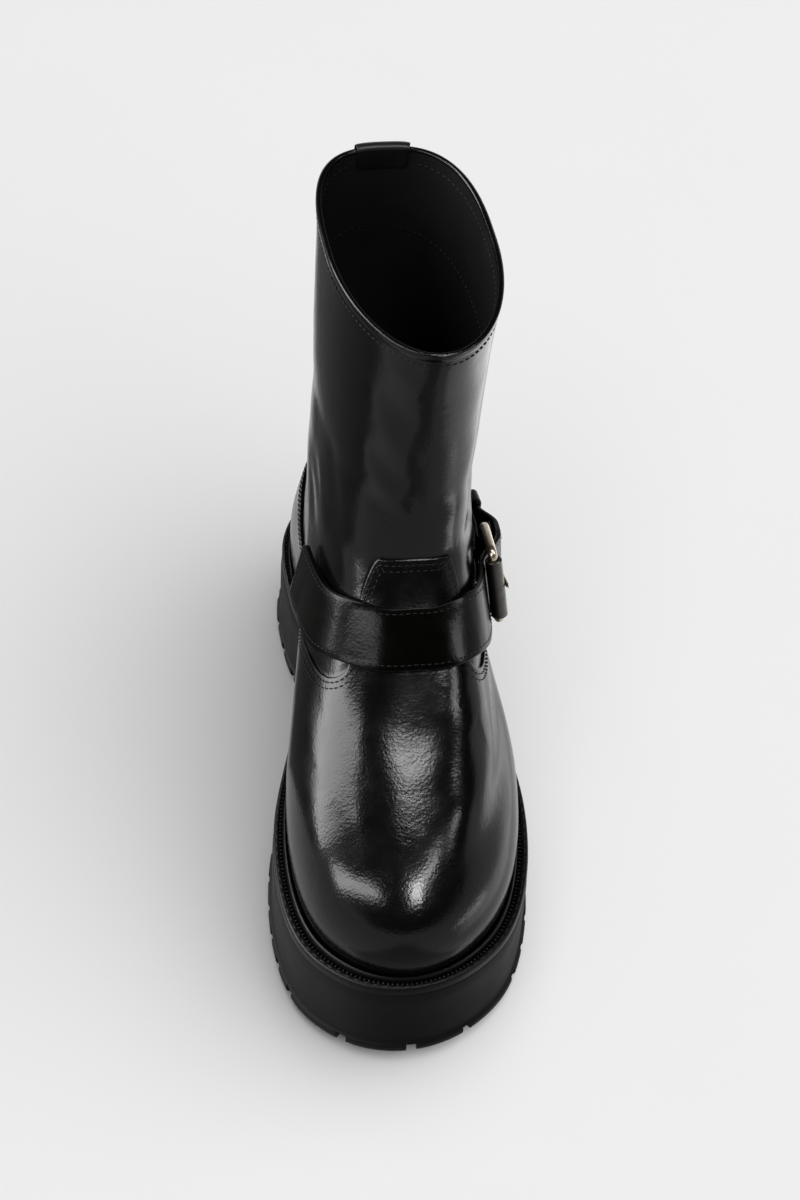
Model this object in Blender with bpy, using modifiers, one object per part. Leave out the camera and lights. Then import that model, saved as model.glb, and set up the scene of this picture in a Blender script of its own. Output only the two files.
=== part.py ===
"""Left biker boot: platform lug sole, welt, hollow leather upper, instep strap and roller buckle.

The boot stands on the plane z = 0, toe along -Y and outer side along +X.  The origin lies on
the tread under the ball of the foot.  Sizes are millimetres until a mesh is written in metres.
A station is a distance from the back of the heel towards the toe.  A turn runs once round the
upper: 0 at the back, 0.25 on the outer side, 0.5 at the front, 0.75 on the inner side.  A level
climbs the upper through its sections, 0 at the feather line and the last section at the collar.
"""
import math
from collections import namedtuple

import bmesh
import bpy
import numpy as np
from mathutils import Matrix, Vector

MM = 0.001
GAP = 0.3                     # clearance between pieces that touch
FACET = 0.1                   # further clearance for the facets of curved pieces

# Sole sizes
SOLE_LENGTH = 278.0
BALL_STATION = 183.0
TOE_SWING = 9.0               # the toe turns this far to the inner side
SWING_START = 85.0
HEEL_BREAST = 92.0            # front of the heel block
ARCH_FRONT = 124.0            # back of the forefoot tread
ARCH_RISE = 12.0
ARCH_RAMP = 5.0
TOE_SPRING = 6.0
SPRING_START = 205.0
HEEL_ROLL = 2.0               # the back edge of the heel lifts off the floor
HEEL_ROLL_LENGTH = 8.0
SIDE_SLOPE = 2.3              # the sole is this much narrower at its top edge
LUG_STEP = 1.5                # the lugs stand this far proud of the side above them
TREAD_ROUND = 2.2             # round of the edge between tread and side
TREAD_ROUND_END = 0.6
TOP_ROUND = 0.4
EDGE_HEIGHT = 1.0
SOLE_COLUMNS = 60

# Tread sizes
NOTCH_WIDTH = 4.6
NOTCH_HEIGHT = 5.5
NOTCH_DEPTH = 13.0
NOTCH_OPEN = 4.0              # a notch's cutter reaches this far past the side of the sole
TREAD_OPEN = 3.0              # and every tread cutter this far below the tread
GROOVE_WIDTH = 4.0
GROOVE_DEPTH = 4.0
GROOVE_MARGIN = 7.0           # rubber left between a groove and the notches beside it

# Welt and insole sizes
WELT_THICKNESS = 4.0
WELT_INSET = 2.0
INSOLE_THICKNESS = 3.4

# Upper sizes
WALL = 1.8
VAMP_STEP = 1.0               # the vamp lies this much proud of the shaft
COLLAR_STEP = 0.5
COLLAR_BAND = 0.14            # height of the collar band, in levels
UPPER_COLUMNS = 60
VAMP_ROWS = 22
SHAFT_ROWS = 9
LINING_ROWS = 17

# Pull tab sizes, at the back of the collar
TAB_TURN = 0.028
TAB_OUTER_DROP = 0.75         # length of the outer leg, in levels
TAB_INNER_DROP = 0.28         # length of the inner leg, in levels
TAB_LEATHER = 1.4
TAB_STATIONS = 9

# Strap and buckle sizes
STRAP_WIDTH = 25.0
STRAP_LEATHER = 2.4
STRAP_SEAT = VAMP_STEP + 0.9  # height of the strap over the upper's highest point under it
STRAP_INNER_END = -0.25       # reach of the sewn end, towards the inner side
BENCH_OUTER_END = 0.44
BENCH_SPARE = 0.02
BENCH_ROWS = 240
STRAP_STEP = 4.2              # spacing of the strap's sections round the instep
TAIL_STEP = 3.5               # and where it bends through the buckle
TAIL_LENGTH = 50.0            # free end of the strap past the middle of the buckle
BUCKLE_REACH = 0.223
ROD_RADIUS = 1.9
FRAME_HALF_HEIGHT = 17.1
FRAME_CORNER = 2.6
FRONT_BAR = -11.5             # places along the strap from the middle of the buckle
BACK_BAR = 11.0
ROLLER_RADIUS = 3.5
ROLLER_HALF_LENGTH = 14.2
ROLLER_STEPS = 16
PRONG_RADIUS = 1.0
CHAPE_LEATHER = 1.4
CHAPE_WIDTH = 24.0
CHAPE_LENGTH = 56.0
FOLD_LENGTH = 9.0
KEEPER_PLACE = 37.0
KEEPER_WIDTH = 8.0
KEEPER_LEATHER = 1.4
KEEPER_PLAY = 0.2

EdgeRow = namedtuple("EdgeRow", "station inner outer")
HeightRow = namedtuple("HeightRow", "station height")
NotchRow = namedtuple("NotchRow", "side first last count")
Section = namedtuple("Section", "front_station front_rise front_x back_station back_rise back_x"
                                " inner outer oval widest blunt back_blunt")
WeltRow = namedtuple("WeltRow", "across height")
ReachRow = namedtuple("ReachRow", "reach level")
LiftRow = namedtuple("LiftRow", "place lift")
Slot = namedtuple("Slot", "start end width height")

# Half widths of the tread on both sides of the boot's axis
SOLE_EDGE = (
    EdgeRow(9.0, 24.5, 24.5),
    EdgeRow(36.0, 40.5, 39.0),
    EdgeRow(68.0, 40.0, 38.5),
    EdgeRow(102.0, 34.0, 41.0),
    EdgeRow(143.0, 45.0, 48.5),
    EdgeRow(185.0, 54.0, 54.5),
    EdgeRow(223.0, 53.0, 52.5),
    EdgeRow(253.0, 43.0, 42.5),
    EdgeRow(270.0, 26.0, 26.0),
)

# Height of the foot bed, level with the top of the welt
FOOT_BED = (
    HeightRow(0.0, 47.0),
    HeightRow(50.0, 46.0),
    HeightRow(95.0, 44.5),
    HeightRow(143.0, 43.5),
    HeightRow(183.0, 43.5),
    HeightRow(223.0, 45.0),
    HeightRow(253.0, 48.0),
    HeightRow(278.0, 52.0),
)

# Runs of tread notches, by their stations
NOTCHES = (
    NotchRow(-1, 131.0, 245.0, 9),
    NotchRow(1, 131.0, 245.0, 9),
    NotchRow(-1, 270.0, 270.0, 1),
    NotchRow(1, 270.0, 270.0, 1),
    NotchRow(1, 277.9, 277.9, 1),
    NotchRow(-1, 18.0, 80.0, 5),
    NotchRow(1, 18.0, 80.0, 5),
    NotchRow(-1, 3.0, 3.0, 1),
    NotchRow(1, 3.0, 3.0, 1),
)
FOREFOOT_GROOVES = (140.0, 161.0, 205.0, 228.0)
HEEL_GROOVES = (28.0, 52.0)

# Sections of the upper; rises are heights over the foot bed, widths are half widths.
# Oval is 0 where a section has the sole's own outline and 1 where it is a plain oval.
# Blunt is the power of the oval's front end, back blunt of its back end: 2 is an ellipse, more is
# squarer.
UPPER_SECTIONS = (
    Section(268.0, -4.0, 0.0, 7.5, -4.0, 0.0, 44.0, 44.0, 0.00, 0.60, 2.0, 2.0),
    Section(270.5, 8.2, 0.0, 5.0, 10.0, 0.0, 45.8, 46.0, 0.05, 0.60, 2.0, 2.0),
    Section(269.5, 17.9, 0.0, 3.8, 21.0, 0.0, 46.2, 46.6, 0.15, 0.60, 2.1, 2.0),
    Section(264.5, 28.2, 0.0, 3.8, 31.0, 0.0, 45.2, 44.0, 0.30, 0.60, 2.2, 2.0),
    Section(254.0, 38.9, 0.0, 4.8, 41.0, 0.0, 43.0, 38.4, 0.50, 0.58, 2.3, 2.0),
    Section(238.0, 48.7, 1.0, 6.3, 50.0, 0.0, 40.3, 35.8, 0.70, 0.55, 2.5, 2.0),
    Section(215.0, 58.4, 2.0, 8.0, 59.0, 0.0, 37.5, 33.8, 0.85, 0.50, 2.7, 2.0),
    Section(188.0, 68.5, 3.0, 9.8, 67.0, 0.0, 35.0, 32.2, 0.95, 0.48, 3.0, 2.0),
    Section(163.0, 81.6, 4.0, 11.2, 77.0, -1.0, 33.0, 30.8, 1.00, 0.47, 3.1, 2.0),
    Section(144.0, 99.5, 5.0, 12.0, 91.3, -2.0, 31.8, 29.6, 1.00, 0.47, 3.0, 2.0),
    Section(131.5, 122.3, 7.0, 12.0, 113.3, -2.0, 30.6, 29.2, 1.00, 0.47, 2.7, 2.1),
    Section(125.0, 148.2, 9.0, 11.0, 141.3, -2.0, 30.6, 30.9, 1.00, 0.47, 2.4, 2.3),
    Section(121.5, 175.0, 11.0, 9.0, 172.3, -0.5, 31.4, 32.3, 1.00, 0.48, 2.1, 2.5),
    Section(119.5, 201.0, 13.5, 7.0, 203.0, 2.0, 33.0, 33.3, 1.00, 0.48, 2.0, 2.8),
)
COLLAR = len(UPPER_SECTIONS) - 1

# Top edge of the vamp: a tab up the shaft, a dip under the strap, then level to the back.
# Reach is the distance from the front, as a part of a turn.
TAB_TOP_REACH = 0.049
TAB_FOOT_REACH = 0.069
VAMP_EDGE = (
    ReachRow(0.0, 9.32),
    ReachRow(TAB_TOP_REACH, 9.28),
    ReachRow(TAB_FOOT_REACH, 8.60),
    ReachRow(0.085, 7.40),
    ReachRow(0.110, 7.03),
    ReachRow(0.150, 6.50),
    ReachRow(0.200, 5.85),
    ReachRow(0.250, 4.90),
    ReachRow(0.320, 4.45),
    ReachRow(0.500, 4.30),
)

# Middle line of the strap on the upper
STRAP_LINE = (
    ReachRow(0.0, 8.10),
    ReachRow(0.08, 8.00),
    ReachRow(0.16, 7.45),
    ReachRow(0.22, 6.90),
    ReachRow(0.25, 6.50),
    ReachRow(0.30, 5.75),
    ReachRow(0.35, 4.95),
    ReachRow(0.42, 4.20),
)

# Welt profile from its outer foot over ledge, stitch groove and bead to the upper
WELT_PROFILE = (
    WeltRow(0.00, -WELT_THICKNESS),
    WeltRow(0.00, -0.8),
    WeltRow(0.10, 0.0),
    WeltRow(0.46, 0.2),
    WeltRow(0.52, -1.0),
    WeltRow(0.66, -1.0),
    WeltRow(0.72, 1.5),
    WeltRow(0.86, 2.5),
    WeltRow(1.00, 1.7),
    WeltRow(1.00, -WELT_THICKNESS),
)

# Heights over the strap's seat: strap and tail pass under the roller and over the back bar
TAIL_LIFT = (
    LiftRow(-9.0, 0.0),
    LiftRow(-5.5, 0.9),
    LiftRow(3.5, 6.0),
    LiftRow(8.0, 8.1),
    LiftRow(12.0, 8.5),
    LiftRow(20.0, 8.0),
    LiftRow(23.0, 6.8),
    LiftRow(28.0, 3.6),
    LiftRow(32.0, 2.1),
    LiftRow(36.0, 1.8),
)

# Holes for the prong: through the strap, and through the fold of the chape
PRONG_HOLE = Slot(1.0, 11.5, 3.4, 16.0)
CHAPE_SLOT = Slot(5.0, 17.5, 4.6, 30.0)

# Turns of the chape and of the prong round the back bar, in degrees
CHAPE_WRAP = (-120.0, -270.0)
PRONG_WRAP = (-50.0, 80.0)
BACK_BAR_LIFT = CHAPE_LEATHER + GAP + ROD_RADIUS
FRONT_BAR_LIFT = STRAP_LEATHER + GAP + ROLLER_RADIUS


def smooth_rows(places, values, at):
    """Value at each place of a smooth curve through the rows of a table."""
    places = np.asarray(places, float)
    values = np.asarray(values, float)
    at = np.clip(np.asarray(at, float), places[0], places[-1])
    steps = np.diff(places)
    slopes = np.diff(values) / steps
    ends = np.empty_like(values)
    ends[0] = slopes[0]
    ends[-1] = slopes[-1]
    ends[1:-1] = (slopes[:-1] * steps[1:] + slopes[1:] * steps[:-1]) / (steps[1:] + steps[:-1])
    row = np.clip(np.searchsorted(places, at, side="right") - 1, 0, len(steps) - 1)
    t = (at - places[row]) / steps[row]
    before = (1 + 2 * t) * (1 - t) ** 2 * values[row] + t * (1 - t) ** 2 * steps[row] * ends[row]
    after = t * t * (3 - 2 * t) * values[row + 1] + t * t * (t - 1) * steps[row] * ends[row + 1]
    return before + after


def table_curve(table, at):
    """Smooth curve through a table of two columns."""
    return smooth_rows([row[0] for row in table], [row[1] for row in table], at)


def table_line(table, at):
    """Straight runs between the rows of a table of two columns."""
    return np.interp(at, [row[0] for row in table], [row[1] for row in table])


def axis_x(station):
    """Sideways place of the boot's axis, which swings to the inner side at the toe."""
    forward = np.clip((station - SWING_START) / (SOLE_LENGTH - SWING_START), 0.0, None)
    return -TOE_SWING * forward ** 2


def bed_height(station):
    """Height of the foot bed."""
    return table_curve(FOOT_BED, station)


def tread_height(station):
    """Height of the tread: flat heel and forefoot, raised arch, toe spring and heel roll."""
    spring = np.clip((station - SPRING_START) / (SOLE_LENGTH - SPRING_START), 0.0, None)
    roll = np.clip((HEEL_ROLL_LENGTH - station) / HEEL_ROLL_LENGTH, 0.0, None)
    into_arch = np.minimum(station - HEEL_BREAST, ARCH_FRONT - station)
    arch = np.clip(into_arch / ARCH_RAMP, 0.0, 1.0)
    return TOE_SPRING * spring ** 2 + HEEL_ROLL * roll + ARCH_RISE * arch


def fold(turn):
    """Angle from the back, 0 to pi, and the side, 1 for outer and -1 for inner."""
    turn = np.mod(turn, 1.0)
    angle = math.pi * (1.0 - np.abs(1.0 - 2.0 * turn))
    side = np.where(turn <= 0.5, 1.0, -1.0)
    return angle, side


def edge_angle(station):
    """Angle from the back at which the outline reaches a station."""
    return math.acos(1.0 - 2.0 * station / SOLE_LENGTH)


def edge_width(angle, side):
    """Half width of the tread's outline; both ends are round."""
    rows = [edge_angle(row.station) for row in SOLE_EDGE]
    places = [-rows[0], 0.0] + rows + [math.pi, 2.0 * math.pi - rows[-1]]
    widths = []
    for column in ("outer", "inner"):
        middle = [getattr(row, column) for row in SOLE_EDGE]
        table = [-middle[0], 0.0] + middle + [0.0, -middle[-1]]
        widths.append(smooth_rows(places, table, angle))
    return np.where(side > 0, widths[0], widths[1])


def sole_outline(turn, inset):
    """Points (x, station) of the sole's outline, moved inwards by the inset."""
    def on_edge(at):
        angle, side = fold(at)
        station = SOLE_LENGTH * (1.0 - np.cos(angle)) / 2.0
        return side * edge_width(angle, side) + axis_x(station), station

    small = 1e-4
    x, station = on_edge(turn)
    x_next, station_next = on_edge(turn + small)
    x_last, station_last = on_edge(turn - small)
    run_x = x_next - x_last
    run_s = station_next - station_last
    length = np.hypot(run_x, run_s)
    return x - inset * run_s / length, station + inset * run_x / length


def upper_base(level, turn):
    """Points of the upper's outer surface before any overlay, in world millimetres."""
    index = np.arange(len(UPPER_SECTIONS))
    at = Section(*(smooth_rows(index, column, level) for column in zip(*UPPER_SECTIONS)))
    angle, side = fold(turn)
    along = (1.0 - np.cos(angle)) / 2.0
    station = at.back_station + (at.front_station - at.back_station) * along
    from_widest = np.where(along < at.widest, 1.0 - along / at.widest,
                           (along - at.widest) / (1.0 - at.widest))
    power = np.where(along < at.widest, at.back_blunt, at.blunt)
    plain = np.clip(1.0 - from_widest ** power, 0.0, 1.0) ** (1.0 / power)
    broadest = np.where(side > 0, max(row.outer for row in SOLE_EDGE),
                        max(row.inner for row in SOLE_EDGE))
    shape = (1.0 - at.oval) * edge_width(angle, side) / broadest + at.oval * plain
    half = np.where(side > 0, at.outer, at.inner)
    x = side * half * shape + at.back_x + (at.front_x - at.back_x) * along + axis_x(station)
    back_bed = bed_height(at.back_station)
    front_bed = bed_height(at.front_station)
    straight_bed = back_bed + (front_bed - back_bed) * along
    bed = (1.0 - at.oval) * bed_height(station) + at.oval * straight_bed
    z = bed + at.back_rise + (at.front_rise - at.back_rise) * along
    return np.stack([x, BALL_STATION - station, z], axis=-1)


def upper_slopes(level, turn):
    """Change of the surface point along level and along turn."""
    step_level, step_turn = 0.02, 0.002
    top = np.minimum(level + step_level, COLLAR)
    low = np.maximum(level - step_level, 0.0)
    climb = (upper_base(top, turn) - upper_base(low, turn)) / (top - low)[..., None]
    round_ = upper_base(level, turn + step_turn) - upper_base(level, turn - step_turn)
    return climb, round_ / (2.0 * step_turn)


def upper_normal(level, turn):
    """Outward direction of the upper; it lies flat at the feather line."""
    climb, round_ = upper_slopes(level, turn)
    normal = np.cross(climb, round_)
    normal[..., 2] *= np.clip(level, 0.0, 1.0)
    return normal / np.linalg.norm(normal, axis=-1, keepdims=True)


def upper_point(level, turn, lift=0.0):
    """Points on the upper, lifted outwards; level, turn and lift are arrays or numbers."""
    level, turn, lift = np.broadcast_arrays(*(np.asarray(v, float) for v in (level, turn, lift)))
    return upper_base(level, turn) + lift[..., None] * upper_normal(level, turn)


def vamp_edge_level(turn):
    """Level of the vamp's top edge."""
    return table_line(VAMP_EDGE, np.abs(turn - 0.5))


def upper_turns():
    """Columns of the upper, with a column at each corner of the vamp's tab."""
    turns = np.arange(UPPER_COLUMNS) / UPPER_COLUMNS
    for reach in (TAB_TOP_REACH, TAB_FOOT_REACH):
        for corner in (0.5 - reach, 0.5 + reach):
            turns[np.argmin(np.abs(turns - corner))] = corner
    return turns


def strap_centre(reach):
    """Level and turn of the strap's middle line; reach is positive on the outer side."""
    reach = np.asarray(reach, float)
    return table_curve(STRAP_LINE, np.abs(reach)), 0.5 - reach


def walk(level, turn, heading, distance):
    """Level and turn reached by walking over the upper along a heading."""
    pieces = 4
    for _ in range(pieces):
        climb, round_ = upper_slopes(np.array(level), np.array(turn))
        move, *_ = np.linalg.lstsq(np.stack([climb, round_], axis=1),
                                   heading * distance / pieces, rcond=None)
        level = float(np.clip(level + move[0], 0.0, COLLAR))
        turn = float(turn + move[1])
    return level, turn


class StrapBench:
    """Flat seat along the strap's line that clears the upper all across its width."""

    def __init__(self):
        reach = np.linspace(STRAP_INNER_END - BENCH_SPARE, BENCH_OUTER_END, BENCH_ROWS)
        line = upper_point(*strap_centre(reach))
        run = np.concatenate([[0.0], np.cumsum(np.linalg.norm(np.diff(line, axis=0), axis=1))])
        self.reach = reach
        self.place = run - np.interp(BUCKLE_REACH, reach, run)
        self.seats = {}

    def place_of(self, reach):
        """Distance along the strap from the middle of the buckle."""
        return float(np.interp(reach, self.reach, self.place))

    def seat(self, place):
        """Seat origin, direction along the strap, across it (up) and outwards."""
        key = round(place, 4)
        if key not in self.seats:
            self.seats[key] = self.find_seat(place)
        return self.seats[key]

    def find_seat(self, place):
        """Works a seat out from the upper under it."""
        step = 0.004
        reach = float(np.interp(place, self.place, self.reach))
        before, middle, after = upper_point(*strap_centre([reach - step, reach, reach + step]))
        level, turn = (float(v) for v in strap_centre(reach))
        outward = upper_normal(np.array(level), np.array(turn))
        along = after - before
        along -= outward * np.dot(along, outward)
        along /= np.linalg.norm(along)
        across = np.cross(along, outward)
        if across[2] < 0.0:
            across = -across
        rises = [0.0]
        for share in (-1.0, -0.5, 0.5, 1.0):
            spot = upper_point(*walk(level, turn, across, share * STRAP_WIDTH / 2.0))
            rises.append(float(np.dot(spot - middle, outward)))
        return middle + outward * (max(rises) + STRAP_SEAT), along, across, outward

    def point(self, place, across, lift):
        """World point at a place along the strap, across it and over its seat."""
        origin, _, sideways, outward = self.seat(place)
        return origin + sideways * across + outward * lift


def make_material(name, colour, roughness, metallic):
    """Principled material of one sub-part."""
    material = bpy.data.materials.new(name)
    material.use_nodes = True
    shader = material.node_tree.nodes["Principled BSDF"]
    shader.inputs["Base Color"].default_value = (*colour, 1.0)
    shader.inputs["Roughness"].default_value = roughness
    shader.inputs["Metallic"].default_value = metallic
    material.diffuse_color = (*colour, 1.0)
    return material


def add_object(name, data, collection, material):
    """Object with its material, linked to the collection."""
    data.materials.append(material)
    piece = bpy.data.objects.new(name, data)
    collection.objects.link(piece)
    return piece


def ladder(count, tips):
    """Faces across a ring; with tips its first and middle points are the ladder's ends."""
    faces = []
    if tips:
        for i in range(count // 2):
            faces.append((i, i + 1, (count - i - 1) % count, (count - i) % count))
    else:
        for i in range(count // 2 - 1):
            faces.append((i, i + 1, count - i - 2, count - i - 1))
    return [tuple(dict.fromkeys(face)) for face in faces]


def loft(name, rings, collection, material, closed=False, tips=False):
    """Solid through rings of equal count, closed on itself or capped at both ends."""
    count = len(rings[0])
    mesh = bmesh.new()
    grid = [[mesh.verts.new(Vector(point) * MM) for point in ring] for ring in rings]
    pairs = list(zip(grid, grid[1:]))
    if closed:
        pairs.append((grid[-1], grid[0]))
    for low, high in pairs:
        for i in range(count):
            j = (i + 1) % count
            mesh.faces.new((low[i], low[j], high[j], high[i]))
    if not closed:
        for ring in (grid[0], grid[-1]):
            for face in ladder(count, tips):
                mesh.faces.new([ring[i] for i in face])
    bmesh.ops.recalc_face_normals(mesh, faces=mesh.faces)
    data = bpy.data.meshes.new(name)
    mesh.to_mesh(data)
    mesh.free()
    data.shade_smooth()
    data.set_sharp_from_angle(angle=math.radians(40.0))
    return add_object(name, data, collection, material)


def add_cutter(name, boxes, collection):
    """Cutter of separate boxes, each a matrix in metres that shapes a unit cube."""
    mesh = bmesh.new()
    for box in boxes:
        bmesh.ops.create_cube(mesh, size=1.0, matrix=box)
    data = bpy.data.meshes.new(name)
    mesh.to_mesh(data)
    mesh.free()
    cutter = bpy.data.objects.new(name, data)
    cutter.hide_render = True
    cutter.display_type = "WIRE"
    collection.objects.link(cutter)
    return cutter


def cut(piece, cutter):
    """Boolean difference left on the piece."""
    modifier = piece.modifiers.new("cut_" + cutter.name, "BOOLEAN")
    modifier.operation = "DIFFERENCE"
    modifier.solver = "EXACT"
    modifier.object = cutter


def box_matrix(centre, axes, sizes):
    """Matrix in metres of a box from its centre, three right-handed axes and its sizes."""
    matrix = Matrix.Identity(4)
    for column, (axis, size) in enumerate(zip(axes, sizes)):
        matrix.col[column][:3] = Vector(axis) * size * MM
    matrix.translation = Vector(centre) * MM
    return matrix


def sole_turns():
    """Columns of the sole, with columns at both ends of the arch's ramps."""
    turns = list(np.arange(SOLE_COLUMNS) / SOLE_COLUMNS)
    for station in (HEEL_BREAST, HEEL_BREAST + ARCH_RAMP, ARCH_FRONT - ARCH_RAMP, ARCH_FRONT):
        share = edge_angle(station) / (2.0 * math.pi)
        turns += [share, 1.0 - share]
    return np.array(sorted(turns))


def sole_ring(turns, inset, height):
    """Ring of the sole at an inset; height is a function of the station."""
    x, station = sole_outline(turns, inset)
    return np.stack([x, BALL_STATION - station, height(station)], axis=-1)


def build_outsole(collection, cutters):
    """Platform, arch, heel block and lugs in one moulded rubber piece."""
    turns = sole_turns()
    top = WELT_THICKNESS + GAP
    rings = [
        sole_ring(turns, TREAD_ROUND, tread_height),
        sole_ring(turns, TREAD_ROUND_END, lambda s: tread_height(s) + EDGE_HEIGHT),
        sole_ring(turns, 0.0, lambda s: tread_height(s) + NOTCH_HEIGHT - EDGE_HEIGHT),
        sole_ring(turns, LUG_STEP, lambda s: tread_height(s) + NOTCH_HEIGHT + LUG_STEP),
        sole_ring(turns, SIDE_SLOPE - TOP_ROUND, lambda s: bed_height(s) - top - EDGE_HEIGHT),
        sole_ring(turns, SIDE_SLOPE + TOP_ROUND, lambda s: bed_height(s) - top),
    ]
    rubber = make_material("sole_rubber", (0.017, 0.017, 0.018), 0.62, 0.0)
    outsole = loft("outsole", rings, collection, rubber, tips=True)
    cut(outsole, add_cutter("tread_cutter", tread_boxes(), cutters))
    return outsole


def tread_boxes():
    """Notches round the edge of the tread and grooves across its middle."""
    up = np.array([0.0, 0.0, 1.0])
    boxes = []
    for row in NOTCHES:
        for station in np.linspace(row.first, row.last, row.count):
            share = edge_angle(station) / (2.0 * math.pi)
            turn = np.array(share if row.side > 0 else 1.0 - share)
            edge = np.array(sole_outline(turn, 0.0))
            inside = np.array(sole_outline(turn, 1.0))
            outward = np.array([edge[0] - inside[0], inside[1] - edge[1], 0.0])
            depth = NOTCH_DEPTH + NOTCH_OPEN
            middle = np.array([edge[0], BALL_STATION - edge[1], 0.0])
            middle += outward * (NOTCH_OPEN - NOTCH_DEPTH) / 2.0
            top = float(tread_height(np.array(station))) + NOTCH_HEIGHT
            middle[2] = (top - TREAD_OPEN) / 2.0
            axes = (outward, np.cross(up, outward), up)
            boxes.append(box_matrix(middle, axes, (depth, NOTCH_WIDTH, top + TREAD_OPEN)))
    for station in FOREFOOT_GROOVES + HEEL_GROOVES:
        top = float(tread_height(np.array(station))) + GROOVE_DEPTH
        across = float(axis_x(np.array(station)))
        middle = (across, BALL_STATION - station, (top - TREAD_OPEN) / 2.0)
        axes = ((1.0, 0.0, 0.0), (0.0, 1.0, 0.0), up)
        half = float(edge_width(edge_angle(station), -1.0)) - NOTCH_DEPTH - GROOVE_MARGIN
        boxes.append(box_matrix(middle, axes, (2.0 * half, GROOVE_WIDTH, top + TREAD_OPEN)))
    return boxes


def feather_level(height):
    """Level of the upper at a height over the foot bed, near the feather line."""
    first, second = UPPER_SECTIONS[0], UPPER_SECTIONS[1]
    return (height - first.front_rise) / (second.front_rise - first.front_rise)


def build_welt(collection):
    """Leather welt round the upper: outer ledge, stitch groove and raised bead."""
    turns = upper_turns()
    touch = VAMP_STEP + GAP + FACET
    edge = sole_ring(turns, WELT_INSET, bed_height)
    bead = upper_point(feather_level(WELT_PROFILE[-3].height), turns, touch)
    rings = []
    for row in WELT_PROFILE:
        if row.across < 1.0:
            ring = edge + (bead - edge) * row.across
        else:
            ring = upper_point(feather_level(row.height), turns, touch)
        ring[:, 2] = bed_height(BALL_STATION - ring[:, 1]) + row.height
        rings.append(ring)
    leather = make_material("welt_leather", (0.014, 0.013, 0.012), 0.45, 0.0)
    return loft("welt", rings, collection, leather, closed=True)


def build_insole(collection):
    """Insole board and sock that close the upper from below."""
    turns = upper_turns()
    inside = -(WALL + GAP + FACET)
    rings = []
    for height in (-WELT_THICKNESS, INSOLE_THICKNESS - WELT_THICKNESS):
        ring = upper_point(feather_level(height), turns, inside)
        ring[:, 2] = bed_height(BALL_STATION - ring[:, 1]) + height
        rings.append(ring)
    sock = make_material("insole_sock", (0.02, 0.018, 0.016), 0.7, 0.0)
    return loft("insole", rings, collection, sock, tips=True)


def build_upper(collection):
    """Vamp and shaft as one hollow wall, open at the collar and underneath."""
    turns = upper_turns()
    edge = vamp_edge_level(turns)
    band = COLLAR - COLLAR_BAND
    rings = [upper_point(edge * share, turns, VAMP_STEP) for share in np.linspace(0, 1, VAMP_ROWS)]
    shaft_shares = np.linspace(0, 1, SHAFT_ROWS)
    rings += [upper_point(edge + (band - edge) * share, turns) for share in shaft_shares]
    rings += [upper_point(level, turns, COLLAR_STEP) for level in (band, COLLAR)]
    lining_levels = np.linspace(COLLAR, 0, LINING_ROWS)
    rings += [upper_point(level, turns, -WALL) for level in lining_levels]
    leather = make_material("upper_leather", (0.012, 0.012, 0.012), 0.32, 0.0)
    return loft("upper", rings, collection, leather, closed=True)


def build_pull_tab(collection):
    """Leather tab folded over the back of the collar."""
    outer_low = COLLAR - TAB_OUTER_DROP
    inner_low = COLLAR - TAB_INNER_DROP
    outer = COLLAR_STEP + GAP
    inner = -(WALL + GAP)
    crown = np.array([0.0, 0.0, GAP])
    thick = np.array([0.0, 0.0, TAB_LEATHER])
    rings = []
    for turn in np.linspace(-TAB_TURN, TAB_TURN, TAB_STATIONS):
        near = [
            upper_point(outer_low, turn, outer),
            upper_point(COLLAR, turn, outer) + crown,
            upper_point(COLLAR, turn, inner) + crown,
            upper_point(inner_low, turn, inner),
        ]
        far = [
            upper_point(inner_low, turn, inner - TAB_LEATHER),
            upper_point(COLLAR, turn, inner - TAB_LEATHER) + crown,
            upper_point(COLLAR, turn, inner) + crown + thick,
            upper_point(COLLAR, turn, outer) + crown + thick,
            upper_point(COLLAR, turn, outer + TAB_LEATHER) + crown,
            upper_point(outer_low, turn, outer + TAB_LEATHER),
        ]
        middle_outer = (near[0] + near[1]) / 2.0
        middle_inner = (near[2] + near[3]) / 2.0
        rings.append([near[0], middle_outer, *near[1:3], middle_inner, near[3], *far])
    leather = make_material("tab_leather", (0.012, 0.012, 0.012), 0.4, 0.0)
    return loft("pull_tab", rings, collection, leather)


def band_ring(bench, place, width, lift, thickness):
    """Cross-section of a flat band at a place along the strap."""
    half = width / 2.0
    outer = [bench.point(place, across, lift + thickness) for across in (-half, half)]
    inner = [bench.point(place, across, lift) for across in (half, -half)]
    return outer + inner


def build_strap(collection, cutters, bench):
    """Instep strap from its sewn inner end, under the roller, to its free tail."""
    start = bench.place_of(STRAP_INNER_END)
    bend = TAIL_LIFT[0].place
    around = np.arange(start, bend, STRAP_STEP)
    places = list(around) + list(np.arange(bend, TAIL_LENGTH, TAIL_STEP)) + [TAIL_LENGTH]
    rings = []
    for place in places:
        lift = float(table_line(TAIL_LIFT, place))
        rings.append(band_ring(bench, place, STRAP_WIDTH, lift, STRAP_LEATHER))
    leather = make_material("strap_leather", (0.012, 0.012, 0.012), 0.34, 0.0)
    strap = loft("instep_strap", rings, collection, leather)
    slot = slot_box(bench, PRONG_HOLE)
    cut(strap, add_cutter("prong_hole_cutter", [slot], cutters))
    return strap


def slot_box(bench, slot):
    """Box across the strap's thickness for the prong."""
    origin, along, across, outward = bench.seat((slot.start + slot.end) / 2.0)
    centre = origin + outward * slot.height / 4.0
    axes = (along, outward, np.cross(along, outward))
    return box_matrix(centre, axes, (slot.end - slot.start, slot.height, slot.width))


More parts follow.
